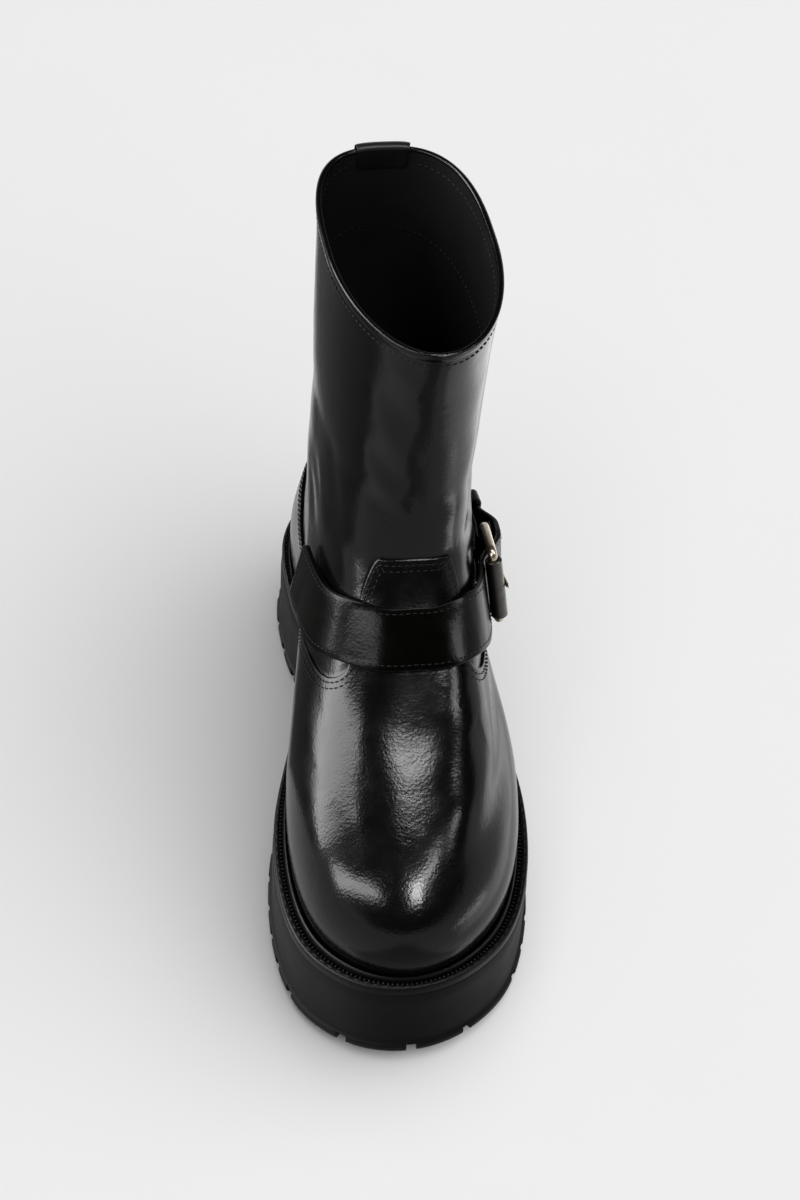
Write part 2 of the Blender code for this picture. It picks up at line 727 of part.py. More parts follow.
def build_chape(collection, cutters, bench):
    """Short strap sewn to the outer side that folds round the buckle's back bar."""
    bend = ROD_RADIUS + GAP + CHAPE_LEATHER / 2.0
    path = [(place, CHAPE_LEATHER / 2.0) for place in np.linspace(CHAPE_LENGTH, BACK_BAR, 7)]
    for angle in np.radians(np.linspace(*CHAPE_WRAP, 6)):
        path.append((BACK_BAR + bend * math.cos(angle), BACK_BAR_LIFT + bend * math.sin(angle)))
    path.append((BACK_BAR + FOLD_LENGTH, BACK_BAR_LIFT + bend))
    rings = []
    for (last_place, last_lift), (place, lift), (next_place, next_lift) in zip(
            path[:1] + path[:-1], path, path[1:] + path[-1:]):
        run = np.array([next_place - last_place, next_lift - last_lift])
        side = np.array([-run[1], run[0]]) / np.linalg.norm(run) * CHAPE_LEATHER / 2.0
        half = CHAPE_WIDTH / 2.0
        near = (place + side[0], lift + side[1])
        far = (place - side[0], lift - side[1])
        corners = ((near, -half), (near, half), (far, half), (far, -half))
        rings.append([bench.point(at[0], across, at[1]) for at, across in corners])
    leather = make_material("chape_leather", (0.012, 0.012, 0.012), 0.38, 0.0)
    chape = loft("buckle_chape", rings, collection, leather)
    cut(chape, add_cutter("chape_slot_cutter", [slot_box(bench, CHAPE_SLOT)], cutters))
    return chape


def build_keeper(collection, bench):
    """Leather loop that holds the strap's tail down on the chape."""
    half = STRAP_WIDTH / 2.0 + GAP + KEEPER_PLAY
    roof = float(table_line(TAIL_LIFT, KEEPER_PLACE - KEEPER_WIDTH / 2.0)) + STRAP_LEATHER + GAP
    wide = half + KEEPER_LEATHER
    high = roof + KEEPER_LEATHER
    corner = roof - KEEPER_LEATHER
    near = half - KEEPER_LEATHER
    section = (
        (-half, KEEPER_PLAY), (-half, corner), (-half, roof),
        (half, roof), (half, corner), (half, KEEPER_PLAY),
        (wide, KEEPER_PLAY), (wide, corner), (near, high),
        (-near, high), (-wide, corner), (-wide, KEEPER_PLAY),
    )
    rings = []
    for place in (KEEPER_PLACE - KEEPER_WIDTH / 2.0, KEEPER_PLACE + KEEPER_WIDTH / 2.0):
        rings.append([bench.point(place, across, lift) for across, lift in section])
    leather = make_material("keeper_leather", (0.012, 0.012, 0.012), 0.38, 0.0)
    return loft("keeper_loop", rings, collection, leather)


def poly_tube(name, points, radius, cyclic, collection, material):
    """Round rod along a run of points."""
    curve = bpy.data.curves.new(name, "CURVE")
    curve.dimensions = "3D"
    curve.bevel_depth = radius * MM
    curve.bevel_resolution = 2
    curve.use_fill_caps = True
    spline = curve.splines.new("POLY")
    spline.points.add(len(points) - 1)
    for target, point in zip(spline.points, points):
        target.co = (*(Vector(point) * MM), 1.0)
    spline.use_cyclic_u = cyclic
    spline.use_smooth = True
    return add_object(name, curve, collection, material)


def build_buckle_frame(collection, bench):
    """Round-rod frame whose front bar carries the roller."""
    corners = []
    for place, lift, side in ((FRONT_BAR, FRONT_BAR_LIFT, 1.0), (BACK_BAR, BACK_BAR_LIFT, 1.0),
                              (BACK_BAR, BACK_BAR_LIFT, -1.0), (FRONT_BAR, FRONT_BAR_LIFT, -1.0)):
        corners.append(bench.point(place, side * FRAME_HALF_HEIGHT, lift))
    points = []
    for i, corner in enumerate(corners):
        toward_last = corners[i - 1] - corner
        toward_next = corners[(i + 1) % 4] - corner
        start = corner + toward_last / np.linalg.norm(toward_last) * FRAME_CORNER
        end = corner + toward_next / np.linalg.norm(toward_next) * FRAME_CORNER
        for t in np.linspace(0.0, 1.0, 5):
            points.append(start * (1 - t) ** 2 + corner * 2 * t * (1 - t) + end * t ** 2)
    nickel = make_material("buckle_nickel", (0.55, 0.5, 0.43), 0.32, 1.0)
    return poly_tube("buckle_frame", points, ROD_RADIUS, True, collection, nickel)


def build_roller(collection, bench):
    """Tube that turns on the frame's front bar."""
    bore = ROD_RADIUS + GAP
    profile = bmesh.new()
    corners = [(ROLLER_RADIUS, ROLLER_HALF_LENGTH), (ROLLER_RADIUS, -ROLLER_HALF_LENGTH),
               (bore, -ROLLER_HALF_LENGTH), (bore, ROLLER_HALF_LENGTH)]
    verts = [profile.verts.new((radius * MM, 0.0, height * MM)) for radius, height in corners]
    for i in range(4):
        profile.edges.new((verts[i], verts[(i + 1) % 4]))
    data = bpy.data.meshes.new("buckle_roller")
    profile.to_mesh(data)
    profile.free()
    nickel = make_material("roller_nickel", (0.3, 0.26, 0.21), 0.38, 1.0)
    roller = add_object("buckle_roller", data, collection, nickel)
    screw = roller.modifiers.new("turned", "SCREW")
    screw.steps = ROLLER_STEPS
    screw.render_steps = ROLLER_STEPS
    screw.use_merge_vertices = True
    screw.merge_threshold = 0.00001
    _, along, across, _ = bench.seat(FRONT_BAR)
    centre = bench.point(FRONT_BAR, 0.0, FRONT_BAR_LIFT)
    axes = (along, np.cross(across, along), across)
    roller.matrix_world = box_matrix(centre, axes, (1.0 / MM,) * 3)
    return roller


def build_prong(collection, bench):
    """Prong hooked on the back bar, through the strap's hole, its tip on the roller."""
    bend = ROD_RADIUS + GAP + PRONG_RADIUS
    tip = (FRONT_BAR - PRONG_RADIUS, FRONT_BAR_LIFT + ROLLER_RADIUS + GAP + PRONG_RADIUS)
    path = []
    for angle in np.radians(np.linspace(*PRONG_WRAP, 7)):
        path.append((BACK_BAR + bend * math.cos(angle), BACK_BAR_LIFT + bend * math.sin(angle)))
    root = path[-1]
    for t in np.linspace(0.2, 1.0, 5):
        path.append((root[0] + (tip[0] - root[0]) * t, root[1] + (tip[1] - root[1]) * t))
    points = [bench.point(place, 0.0, lift) for place, lift in path]
    nickel = make_material("prong_nickel", (0.5, 0.46, 0.4), 0.35, 1.0)
    return poly_tube("buckle_prong", points, PRONG_RADIUS, False, collection, nickel)


def main():
    """Clears the scene and builds every sub-part of the boot."""
    for old in list(bpy.data.objects):
        bpy.data.objects.remove(old)
    parts = bpy.data.collections.new("biker_boot")
    cutters = bpy.data.collections.new("cutters")
    for collection in (parts, cutters):
        bpy.context.scene.collection.children.link(collection)
    bench = StrapBench()
    build_outsole(parts, cutters)
    build_welt(parts)
    build_insole(parts)
    build_upper(parts)
    build_pull_tab(parts)
    build_strap(parts, cutters, bench)
    build_chape(parts, cutters, bench)
    build_keeper(parts, bench)
    build_buckle_frame(parts, bench)
    build_roller(parts, bench)
    build_prong(parts, bench)


main()
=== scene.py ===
"""Looks of the left biker boot: leather, rubber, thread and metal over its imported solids.

The boot stands on the plane z = 0, toe along -Y and outer side along +X.  A station is a distance
from the back of the heel towards the toe.  A turn runs once round the upper: 0 at the back, 0.25
on the outer side, 0.5 at the front.  A level climbs the upper from its feather line to the collar.
A place is a distance along the strap from the middle of the buckle.  Sizes are millimetres until a
mesh is written in metres.
"""

import logging
import math
from dataclasses import dataclass, field
from enum import Enum
from typing import Callable, NamedTuple, Sequence

import bmesh
import bpy
import numpy as np
from mathutils import Matrix, Quaternion, Vector

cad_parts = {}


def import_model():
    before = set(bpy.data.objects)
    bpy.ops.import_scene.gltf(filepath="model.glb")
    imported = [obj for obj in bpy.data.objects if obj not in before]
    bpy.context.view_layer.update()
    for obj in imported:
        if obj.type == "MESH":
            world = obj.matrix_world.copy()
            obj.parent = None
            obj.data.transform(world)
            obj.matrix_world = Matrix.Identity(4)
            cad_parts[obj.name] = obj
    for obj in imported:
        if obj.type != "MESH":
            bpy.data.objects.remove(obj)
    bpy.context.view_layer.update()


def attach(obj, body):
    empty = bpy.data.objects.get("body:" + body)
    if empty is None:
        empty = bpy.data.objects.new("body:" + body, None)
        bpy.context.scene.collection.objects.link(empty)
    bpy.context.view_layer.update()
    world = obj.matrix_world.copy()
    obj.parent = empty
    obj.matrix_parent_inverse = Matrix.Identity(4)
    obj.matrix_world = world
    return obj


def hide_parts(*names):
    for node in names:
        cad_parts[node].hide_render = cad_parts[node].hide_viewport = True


Array = np.ndarray
Spot = tuple[float, float]

LOG = logging.getLogger("biker_boot")
MM = 0.001
BODY = "root"
GAP = 0.3
FACET = 0.1
TURN_STEP = 1e-4
EASE_STEPS = 9
# Edges that turn further than this many degrees stay sharp, on hard pieces and on leather
HARD_SHARP = 40.0
LEATHER_SHARP = 60.0
# Rows near the ends of a strap, as distances from its end, and where its even rows start
END_ROWS = (0.0, 0.15, 0.4, 0.8, 1.4, 2.2, 3.2, 4.4)
END_RUN = 5.6
UP = np.array([0.0, 0.0, 1.0])
UPPER_PIECE = "leather_upper"
STRAP_PIECE = "instep_strap_leather"


class Side(Enum):
    """The two sides of the boot."""

    INNER = -1
    OUTER = 1


class Slot(Enum):
    """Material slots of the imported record."""

    SOLE = "sole_rubber"
    WELT = "welt_leather"
    SOCK = "insole_sock"
    UPPER = "upper_leather"
    TAB = "tab_leather"
    STRAP = "strap_leather"
    CHAPE = "chape_leather"
    KEEPER = "keeper_leather"
    FRAME = "buckle_nickel"
    ROLLER = "roller_nickel"
    PRONG = "prong_nickel"


class EdgeRow(NamedTuple):
    """Half widths of the tread at a station."""

    station: float
    inner: float
    outer: float


class HeightRow(NamedTuple):
    """Height of the foot bed at a station."""

    station: float
    height: float


class NotchRow(NamedTuple):
    """Run of tread notches on one side."""

    side: Side
    first: float
    last: float
    count: int


class Section(NamedTuple):
    """One section of the upper; rises are heights over the foot bed."""

    front_station: float
    front_rise: float
    front_x: float
    back_station: float
    back_rise: float
    back_x: float
    inner: float
    outer: float
    oval: float
    widest: float
    blunt: float
    back_blunt: float


class ReachRow(NamedTuple):
    """Level of a line on the upper at a reach from its front, as a part of a turn."""

    reach: float
    level: float


class LiftRow(NamedTuple):
    """Height of the strap over its seat at a place along it."""

    place: float
    lift: float


class WeltRow(NamedTuple):
    """Point of the welt's profile: share of its width and height over the foot bed."""

    across: float
    height: float


class SoleRow(NamedTuple):
    """Point of the sole's side: distance inside its outline and distance from tread or welt."""

    inset: float
    away: float


class SockRow(NamedTuple):
    """Point of the insole: share of its half width and depth under its edge."""

    share: float
    depth: float


class LipRow(NamedTuple):
    """Point of an overlay's rounded edge: rise in level and share of the overlay's step."""

    rise: float
    share: float


class Wave(NamedTuple):
    """Gentle wave of the hide: two crossed sines, their phases and its height."""

    first: tuple[float, float, float]
    first_phase: float
    second: tuple[float, float, float]
    second_phase: float
    height: float


SOLE_EDGE = (
    EdgeRow(9.0, 24.5, 24.5),
    EdgeRow(36.0, 40.5, 39.0),
    EdgeRow(68.0, 40.0, 38.5),
    EdgeRow(102.0, 34.0, 41.0),
    EdgeRow(143.0, 45.0, 48.5),
    EdgeRow(185.0, 54.0, 54.5),
    EdgeRow(223.0, 53.0, 52.5),
    EdgeRow(253.0, 43.0, 42.5),
    EdgeRow(270.0, 26.0, 26.0),
)

FOOT_BED = (
    HeightRow(0.0, 47.0),
    HeightRow(50.0, 46.0),
    HeightRow(95.0, 44.5),
    HeightRow(143.0, 43.5),
    HeightRow(183.0, 43.5),
    HeightRow(223.0, 45.0),
    HeightRow(253.0, 48.0),
    HeightRow(278.0, 52.0),
)

UPPER_SECTIONS = (
    Section(268.0, -4.0, 0.0, 7.5, -4.0, 0.0, 44.0, 44.0, 0.00, 0.60, 2.0, 2.0),
    Section(270.5, 8.2, 0.0, 5.0, 10.0, 0.0, 45.8, 46.0, 0.05, 0.60, 2.0, 2.0),
    Section(269.5, 17.9, 0.0, 3.8, 21.0, 0.0, 46.2, 46.6, 0.15, 0.60, 2.1, 2.0),
    Section(264.5, 28.2, 0.0, 3.8, 31.0, 0.0, 45.2, 44.0, 0.30, 0.60, 2.2, 2.0),
    Section(254.0, 38.9, 0.0, 4.8, 41.0, 0.0, 43.0, 38.4, 0.50, 0.58, 2.3, 2.0),
    Section(238.0, 48.7, 1.0, 6.3, 50.0, 0.0, 40.3, 35.8, 0.70, 0.55, 2.5, 2.0),
    Section(215.0, 58.4, 2.0, 8.0, 59.0, 0.0, 37.5, 33.8, 0.85, 0.50, 2.7, 2.0),
    Section(188.0, 68.5, 3.0, 9.8, 67.0, 0.0, 35.0, 32.2, 0.95, 0.48, 3.0, 2.0),
    Section(163.0, 81.6, 4.0, 11.2, 77.0, -1.0, 33.0, 30.8, 1.00, 0.47, 3.1, 2.0),
    Section(144.0, 99.5, 5.0, 12.0, 91.3, -2.0, 31.8, 29.6, 1.00, 0.47, 3.0, 2.0),
    Section(131.5, 122.3, 7.0, 12.0, 113.3, -2.0, 30.6, 29.2, 1.00, 0.47, 2.7, 2.1),
    Section(125.0, 148.2, 9.0, 11.0, 141.3, -2.0, 30.6, 30.9, 1.00, 0.47, 2.4, 2.3),
    Section(121.5, 175.0, 11.0, 9.0, 172.3, -0.5, 31.4, 32.3, 1.00, 0.48, 2.1, 2.5),
    Section(119.5, 201.0, 13.5, 7.0, 203.0, 2.0, 33.0, 33.3, 1.00, 0.48, 2.0, 2.8),
)
COLLAR = len(UPPER_SECTIONS) - 1

# Top edge of the vamp: a tab up the shaft, a dip under the strap, then level to the back
VAMP_EDGE = (
    ReachRow(0.0, 9.32),
    ReachRow(0.049, 9.28),
    ReachRow(0.069, 8.60),
    ReachRow(0.085, 7.40),
    ReachRow(0.110, 7.03),
    ReachRow(0.150, 6.50),
    ReachRow(0.200, 5.85),
    ReachRow(0.250, 4.90),
    ReachRow(0.320, 4.45),
    ReachRow(0.500, 4.30),
)

STRAP_LINE = (
    ReachRow(0.0, 8.10),
    ReachRow(0.08, 8.00),
    ReachRow(0.16, 7.45),
    ReachRow(0.22, 6.90),
    ReachRow(0.25, 6.50),
    ReachRow(0.30, 5.75),
    ReachRow(0.35, 4.95),
    ReachRow(0.42, 4.20),
)

TAIL_LIFT = (
    LiftRow(-9.0, 0.0),
    LiftRow(-5.5, 0.9),
    LiftRow(3.5, 6.0),
    LiftRow(8.0, 8.1),
    LiftRow(12.0, 8.5),
    LiftRow(20.0, 8.0),
    LiftRow(23.0, 6.8),
    LiftRow(28.0, 3.6),
    LiftRow(32.0, 2.1),
    LiftRow(36.0, 1.8),
)

# Outer foot, rounded ledge, stitch groove, raised bead and the side against the upper
WELT_PROFILE = (
    WeltRow(0.00, -4.0),
    WeltRow(0.00, -1.3),
    WeltRow(0.03, -0.6),
    WeltRow(0.08, -0.2),
    WeltRow(0.15, 0.05),
    WeltRow(0.30, 0.2),
    WeltRow(0.42, 0.15),
    WeltRow(0.47, -0.1),
    WeltRow(0.50, -0.7),
    WeltRow(0.53, -1.0),
    WeltRow(0.63, -1.0),
    WeltRow(0.66, -0.6),
    WeltRow(0.69, 0.5),
    WeltRow(0.73, 1.5),
    WeltRow(0.78, 2.2),
    WeltRow(0.84, 2.55),
    WeltRow(0.90, 2.55),
    WeltRow(0.96, 2.2),
    WeltRow(1.00, 1.7),
    WeltRow(1.00, -4.0),
)

# Rounded foot of the lugs, their proud side and the step to the side above them
TREAD_PROFILE = (
    SoleRow(2.2, 0.0),
    SoleRow(1.4, 0.25),
    SoleRow(0.8, 0.7),
    SoleRow(0.4, 1.4),
    SoleRow(0.0, 2.4),
    SoleRow(0.0, 4.6),
    SoleRow(0.5, 5.6),
    SoleRow(1.2, 6.3),
    SoleRow(1.5, 7.2),
)

# Side of the platform under the welt and its rounded top edge
CROWN_PROFILE = (
    SoleRow(-0.7, 8.0),
    SoleRow(-0.3, 1.8),
    SoleRow(0.0, 1.0),
    SoleRow(0.35, 0.35),
    SoleRow(1.0, 0.0),
)

# Foot and rounded edge of the insole, then its dished top
SOCK_PROFILE = (
    SockRow(1.0, 3.4),
    SockRow(1.0, 0.8),
    SockRow(0.99, 0.25),
    SockRow(0.97, 0.0),
    SockRow(0.8, 0.25),
    SockRow(0.6, 0.7),
    SockRow(0.35, 1.1),
    SockRow(0.05, 1.1),
)

# Cut edge of the vamp over the shaft, down to where the shaft is pressed in along it
VAMP_LIP = (
    LipRow(0.012, 0.93),
    LipRow(0.022, 0.7),
    LipRow(0.028, 0.3),
    LipRow(0.03, -0.12),
    LipRow(0.05, -0.16),
)

# Cut edge of the collar band and its slight swell
COLLAR_LIP = (
    LipRow(0.004, 0.6),
    LipRow(0.012, 1.0),
    LipRow(0.08, 1.25),
    LipRow(0.12, 1.1),
)

# Directions of the waves are in radians a millimetre
HIDE_WAVES = (
    Wave((1 / 11.0, 1 / 17.0, 0.0), 0.0, (0.0, -1 / 23.0, 1 / 13.0), 0.7, 0.16),
    Wave((1 / 5.3, 0.0, -1 / 7.1), 1.3, (0.0, 1 / 6.1, 1 / 9.7), 0.0, 0.06),
)

NOTCHES = (
    NotchRow(Side.INNER, 131.0, 245.0, 9),
    NotchRow(Side.OUTER, 131.0, 245.0, 9),
    NotchRow(Side.INNER, 270.0, 270.0, 1),
    NotchRow(Side.OUTER, 270.0, 270.0, 1),
    NotchRow(Side.OUTER, 277.9, 277.9, 1),
    NotchRow(Side.INNER, 18.0, 80.0, 5),
    NotchRow(Side.OUTER, 18.0, 80.0, 5),
    NotchRow(Side.INNER, 3.0, 3.0, 1),
    NotchRow(Side.OUTER, 3.0, 3.0, 1),
)


def smooth_rows(places: Sequence[float], values: Sequence[float], at: Array) -> Array:
    """Smooth curve through the rows of a table.

    Args:
        places: First column, rising.
        values: Second column.
        at: Where the curve is read.

    Returns:
        Values of the curve.
    """
    places = np.asarray(places, float)
    values = np.asarray(values, float)
    at = np.clip(np.asarray(at, float), places[0], places[-1])
    steps = np.diff(places)
    slopes = np.diff(values) / steps
    ends = np.empty_like(values)
    ends[0] = slopes[0]
    ends[-1] = slopes[-1]
    ends[1:-1] = (slopes[:-1] * steps[1:] + slopes[1:] * steps[:-1]) / (steps[1:] + steps[:-1])
    row = np.clip(np.searchsorted(places, at, side="right") - 1, 0, len(steps) - 1)
    t = (at - places[row]) / steps[row]
    before = (1 + 2 * t) * (1 - t) ** 2 * values[row] + t * (1 - t) ** 2 * steps[row] * ends[row]
    after = t * t * (3 - 2 * t) * values[row + 1] + t * t * (t - 1) * steps[row] * ends[row + 1]
    return before + after


def table_curve(table: Sequence[tuple], at: Array) -> Array:
    """Smooth curve through a table of two columns."""
    return smooth_rows([row[0] for row in table], [row[1] for row in table], at)


def eased_line(table: Sequence[tuple], at: Array, ease: float) -> Array:
    """Straight runs between a table's rows, with corners eased over a distance.

    Args:
        table: Rows of two columns.
        at: Where the line is read.
        ease: Half length of each eased corner.

    Returns:
        Values of the line.
    """
    places = [row[0] for row in table]
    values = [row[1] for row in table]
    shifts = np.linspace(-ease, ease, EASE_STEPS)
    return np.mean([np.interp(np.abs(at + s) if places[0] == 0.0 else at + s, places, values)
                    for s in shifts], axis=0)


def unit(vectors: Array) -> Array:
    """Vectors brought to length one."""
    return vectors / np.linalg.norm(vectors, axis=-1, keepdims=True)


def dot(one: Array, other: Array) -> Array:
    """Row by row product of two lists of vectors."""
    return np.sum(one * other, axis=-1)


def ramp(value: Array, start: float, run: float) -> Array:
    """Share from 0 to 1 of a run that values have gone past its start."""
    return np.clip((value - start) / run, 0.0, 1.0)


def run_of(path: Array) -> Array:
    """Distance along a path from its first point, at each of its points."""
    return np.concatenate([[0.0], np.cumsum(np.linalg.norm(np.diff(path, axis=0), axis=1))])


def beside(path: Array) -> Array:
    """Directions at right angles to a flat path, at each of its points."""
    run = unit(np.gradient(path, axis=0))
    return np.stack([-run[:, 1], run[:, 0]], axis=-1)


def arc(centre: Spot, radius: float, angles: Spot, count: int) -> list[Spot]:
    """Spots on an arc between two angles in degrees."""
    return [(centre[0] + radius * math.cos(angle), centre[1] + radius * math.sin(angle))
            for angle in np.radians(np.linspace(*angles, count))]


@dataclass(frozen=True)
class Last:
    """The boot's own form: outline of the sole, foot bed, tread and surface of the upper."""

    sole_length: float = 278.0
    ball_station: float = 183.0
    toe_swing: float = 9.0
    swing_start: float = 85.0
    heel_breast: float = 92.0
    arch_front: float = 124.0
    arch_rise: float = 12.0
    arch_ramp: float = 5.0
    toe_spring: float = 6.0
    spring_start: float = 205.0
    heel_roll: float = 2.0
    heel_roll_length: float = 8.0
    wall: float = 1.8
    vamp_step: float = 1.0
    edge_ease: float = 0.006

    def axis_x(self, station: Array) -> Array:
        """Sideways place of the boot's axis, which swings inwards at the toe."""
        run = self.sole_length - self.swing_start
        return -self.toe_swing * np.clip((station - self.swing_start) / run, 0.0, None) ** 2

    def bed_height(self, station: Array) -> Array:
        """Height of the foot bed."""
        return table_curve(FOOT_BED, station)

    def tread_height(self, station: Array) -> Array:
        """Height of the tread: flat heel and forefoot, raised arch, toe spring, heel roll."""
        run = self.sole_length - self.spring_start
        spring = np.clip((station - self.spring_start) / run, 0.0, None)
        roll = np.clip((self.heel_roll_length - station) / self.heel_roll_length, 0.0, None)
        into_arch = np.minimum(station - self.heel_breast, self.arch_front - station)
        arch = np.clip(into_arch / self.arch_ramp, 0.0, 1.0)
        return self.toe_spring * spring ** 2 + self.heel_roll * roll + self.arch_rise * arch

    def fold(self, turn: Array) -> tuple[Array, Array]:
        """Angle from the back and the side, 1 for outer and -1 for inner, at a turn."""
        turn = np.mod(turn, 1.0)
        return math.pi * (1.0 - np.abs(1.0 - 2.0 * turn)), np.where(turn <= 0.5, 1.0, -1.0)

    def edge_turn(self, station: float, side: Side) -> float:
        """Turn at which the outline reaches a station on one side."""
        share = math.acos(1.0 - 2.0 * station / self.sole_length) / (2.0 * math.pi)
        return share if side is Side.OUTER else 1.0 - share

    def edge_width(self, angle: Array, side: Array) -> Array:
        """Half width of the tread's outline; both ends are round."""
        rows = [math.acos(1.0 - 2.0 * row.station / self.sole_length) for row in SOLE_EDGE]
        places = [-rows[0], 0.0, *rows, math.pi, 2.0 * math.pi - rows[-1]]
        widths = []
        for column in ("outer", "inner"):
            middle = [getattr(row, column) for row in SOLE_EDGE]
            widths.append(smooth_rows(places, [-middle[0], 0.0, *middle, 0.0, -middle[-1]], angle))
        return np.where(side > 0, widths[0], widths[1])

    def on_edge(self, turn: Array) -> Array:
        """Points (x, station) of the sole's outline."""
        angle, side = self.fold(turn)
        station = self.sole_length * (1.0 - np.cos(angle)) / 2.0
        x = side * self.edge_width(angle, side) + self.axis_x(station)
        return np.stack([x, station], axis=-1)

    def sole_outline(self, turn: Array, inset: float) -> Array:
        """Points (x, station) of the sole's outline moved inwards by the inset."""
        run = unit(self.on_edge(turn + TURN_STEP) - self.on_edge(turn - TURN_STEP))
        return self.on_edge(turn) + inset * np.stack([-run[..., 1], run[..., 0]], axis=-1)

    def sole_ring(self, turn: Array, inset: float, height: Callable[[Array], Array]) -> Array:
        """Ring of world points on the sole's outline.

        Args:
            turn: Turns of the ring's points.
            inset: Distance inside the outline.
            height: Height of the ring as a function of the station.

        Returns:
            Points in millimetres.
        """
        flat = self.sole_outline(turn, inset)
        station = flat[..., 1]
        return np.stack([flat[..., 0], self.ball_station - station, height(station)], axis=-1)

    def base(self, level: Array, turn: Array) -> Array:
        """Points of the upper's outer surface before any overlay."""
        index = np.arange(len(UPPER_SECTIONS))
        at = Section(*(smooth_rows(index, column, level) for column in zip(*UPPER_SECTIONS)))
        angle, side = self.fold(turn)
        along = (1.0 - np.cos(angle)) / 2.0
        station = at.back_station + (at.front_station - at.back_station) * along
        from_widest = np.where(along < at.widest, 1.0 - along / at.widest,
                               (along - at.widest) / (1.0 - at.widest))
        power = np.where(along < at.widest, at.back_blunt, at.blunt)
        plain = np.clip(1.0 - from_widest ** power, 0.0, 1.0) ** (1.0 / power)
        broadest = np.where(side > 0, max(row.outer for row in SOLE_EDGE),
                            max(row.inner for row in SOLE_EDGE))
        shape = (1.0 - at.oval) * self.edge_width(angle, side) / broadest + at.oval * plain
        half = np.where(side > 0, at.outer, at.inner)
        x = side * half * shape + at.back_x + (at.front_x - at.back_x) * along
        back_bed = self.bed_height(at.back_station)
        straight_bed = back_bed + (self.bed_height(at.front_station) - back_bed) * along
        bed = (1.0 - at.oval) * self.bed_height(station) + at.oval * straight_bed
        z = bed + at.back_rise + (at.front_rise - at.back_rise) * along
        return np.stack([x + self.axis_x(station), self.ball_station - station, z], axis=-1)

    def slopes(self, level: Array, turn: Array) -> tuple[Array, Array]:
        """Change of the upper's surface along level and along turn."""
        step_level, step_turn = 0.02, 0.002
        top = np.minimum(level + step_level, COLLAR)
        low = np.maximum(level - step_level, 0.0)
        climb = (self.base(top, turn) - self.base(low, turn)) / (top - low)[..., None]
        around = self.base(level, turn + step_turn) - self.base(level, turn - step_turn)
        return climb, around / (2.0 * step_turn)

    def normal(self, level: Array, turn: Array) -> Array:
        """Outward direction of the upper; it lies flat at the feather line."""
        climb, around = self.slopes(level, turn)
        normal = np.cross(climb, around)
        normal[..., 2] *= np.clip(level, 0.0, 1.0)
        return unit(normal)

    def point(self, level: Array, turn: Array, lift: Array = 0.0) -> Array:
        """Points on the upper, lifted outwards."""
        spots = np.broadcast_arrays(*(np.asarray(v, float) for v in (level, turn, lift)))
        return self.base(spots[0], spots[1]) + spots[2][..., None] * self.normal(*spots[:2])

    def walk(self, level: Array, turn: Array, heading: Array, distance: float) -> tuple:
        """Level and turn reached by walking over the upper.

        Args:
            level: Levels at the start.
            turn: Turns at the start.
            heading: World directions of the walk.
            distance: Length of the walk.

        Returns:
            Levels and turns at the end.
        """
        pieces = 4
        for _ in range(pieces):
            climb, around = self.slopes(level, turn)
            cc, ca, aa = dot(climb, climb), dot(climb, around), dot(around, around)
            ch, ah = dot(climb, heading), dot(around, heading)
            share = distance / pieces / (cc * aa - ca * ca)
            level = np.clip(level + share * (ch * aa - ah * ca), 0.0, COLLAR)
            turn = turn + share * (ah * cc - ch * ca)
        return level, turn

    def feather_level(self, height: float) -> float:
        """Level of the upper at a height over the foot bed, near the feather line."""
        first, second = UPPER_SECTIONS[0], UPPER_SECTIONS[1]
        return (height - first.front_rise) / (second.front_rise - first.front_rise)

    def vamp_edge(self, turn: Array) -> Array:
        """Level of the vamp's top edge, its corners eased."""
        return eased_line(VAMP_EDGE, np.abs(np.mod(turn, 1.0) - 0.5), self.edge_ease)


@dataclass
class StrapBench:
    """Seat along the strap's line that clears the upper all across the strap's width."""

    last: Last
    strap_width: float = 25.0
    strap_seat: float = 1.9
    buckle_reach: float = 0.223
    inner_end: float = -0.39
    outer_end: float = 0.44
    rows: int = 500
    place: Array = field(init=False)
    axes: tuple[Array, Array, Array, Array] = field(init=False)

    def __post_init__(self) -> None:
        """Works out the seat's origin and directions along the whole line."""
        reach = np.linspace(self.inner_end, self.outer_end, self.rows)
        level = table_curve(STRAP_LINE, np.abs(reach))
        turn = 0.5 - reach
        middle = self.last.point(level, turn)
        outward = self.last.normal(level, turn)
        along = np.gradient(middle, axis=0)
        along = unit(along - outward * dot(along, outward)[:, None])
        across = np.cross(along, outward)
        across *= np.where(across[:, 2] < 0.0, -1.0, 1.0)[:, None]
        rises = [np.zeros(self.rows)]
        for share in (-1.0, -0.5, 0.5, 1.0):
            spot = self.last.point(
                *self.last.walk(level, turn, across, share * self.strap_width / 2.0))
            rises.append(dot(spot - middle, outward))
        origin = middle + outward * (np.max(rises, axis=0) + self.strap_seat)[:, None]
        run = run_of(middle)
        self.place = run - np.interp(self.buckle_reach, reach, run)
        self.axes = (origin, along, across, outward)

    def place_of(self, reach: float) -> float:
        """Distance along the strap from the middle of the buckle."""
        return float(np.interp(reach, np.linspace(self.inner_end, self.outer_end, self.rows),
                               self.place))

    def seat(self, place: Array) -> tuple[Array, Array, Array, Array]:
        """Origin and directions along, across and outwards at places on the strap."""
        at = [np.stack([np.interp(place, self.place, axis[:, i]) for i in range(3)], axis=-1)
              for axis in self.axes]
        return at[0], unit(at[1]), unit(at[2]), unit(at[3])

    def point(self, place: Array, across: Array, lift: Array) -> Array:
        """World points at places along the strap, across it and over its seat."""
        spots = np.broadcast_arrays(*(np.asarray(v, float) for v in (place, across, lift)))
        origin, _, sideways, outward = self.seat(spots[0])
        return origin + sideways * spots[1][..., None] + outward * spots[2][..., None]


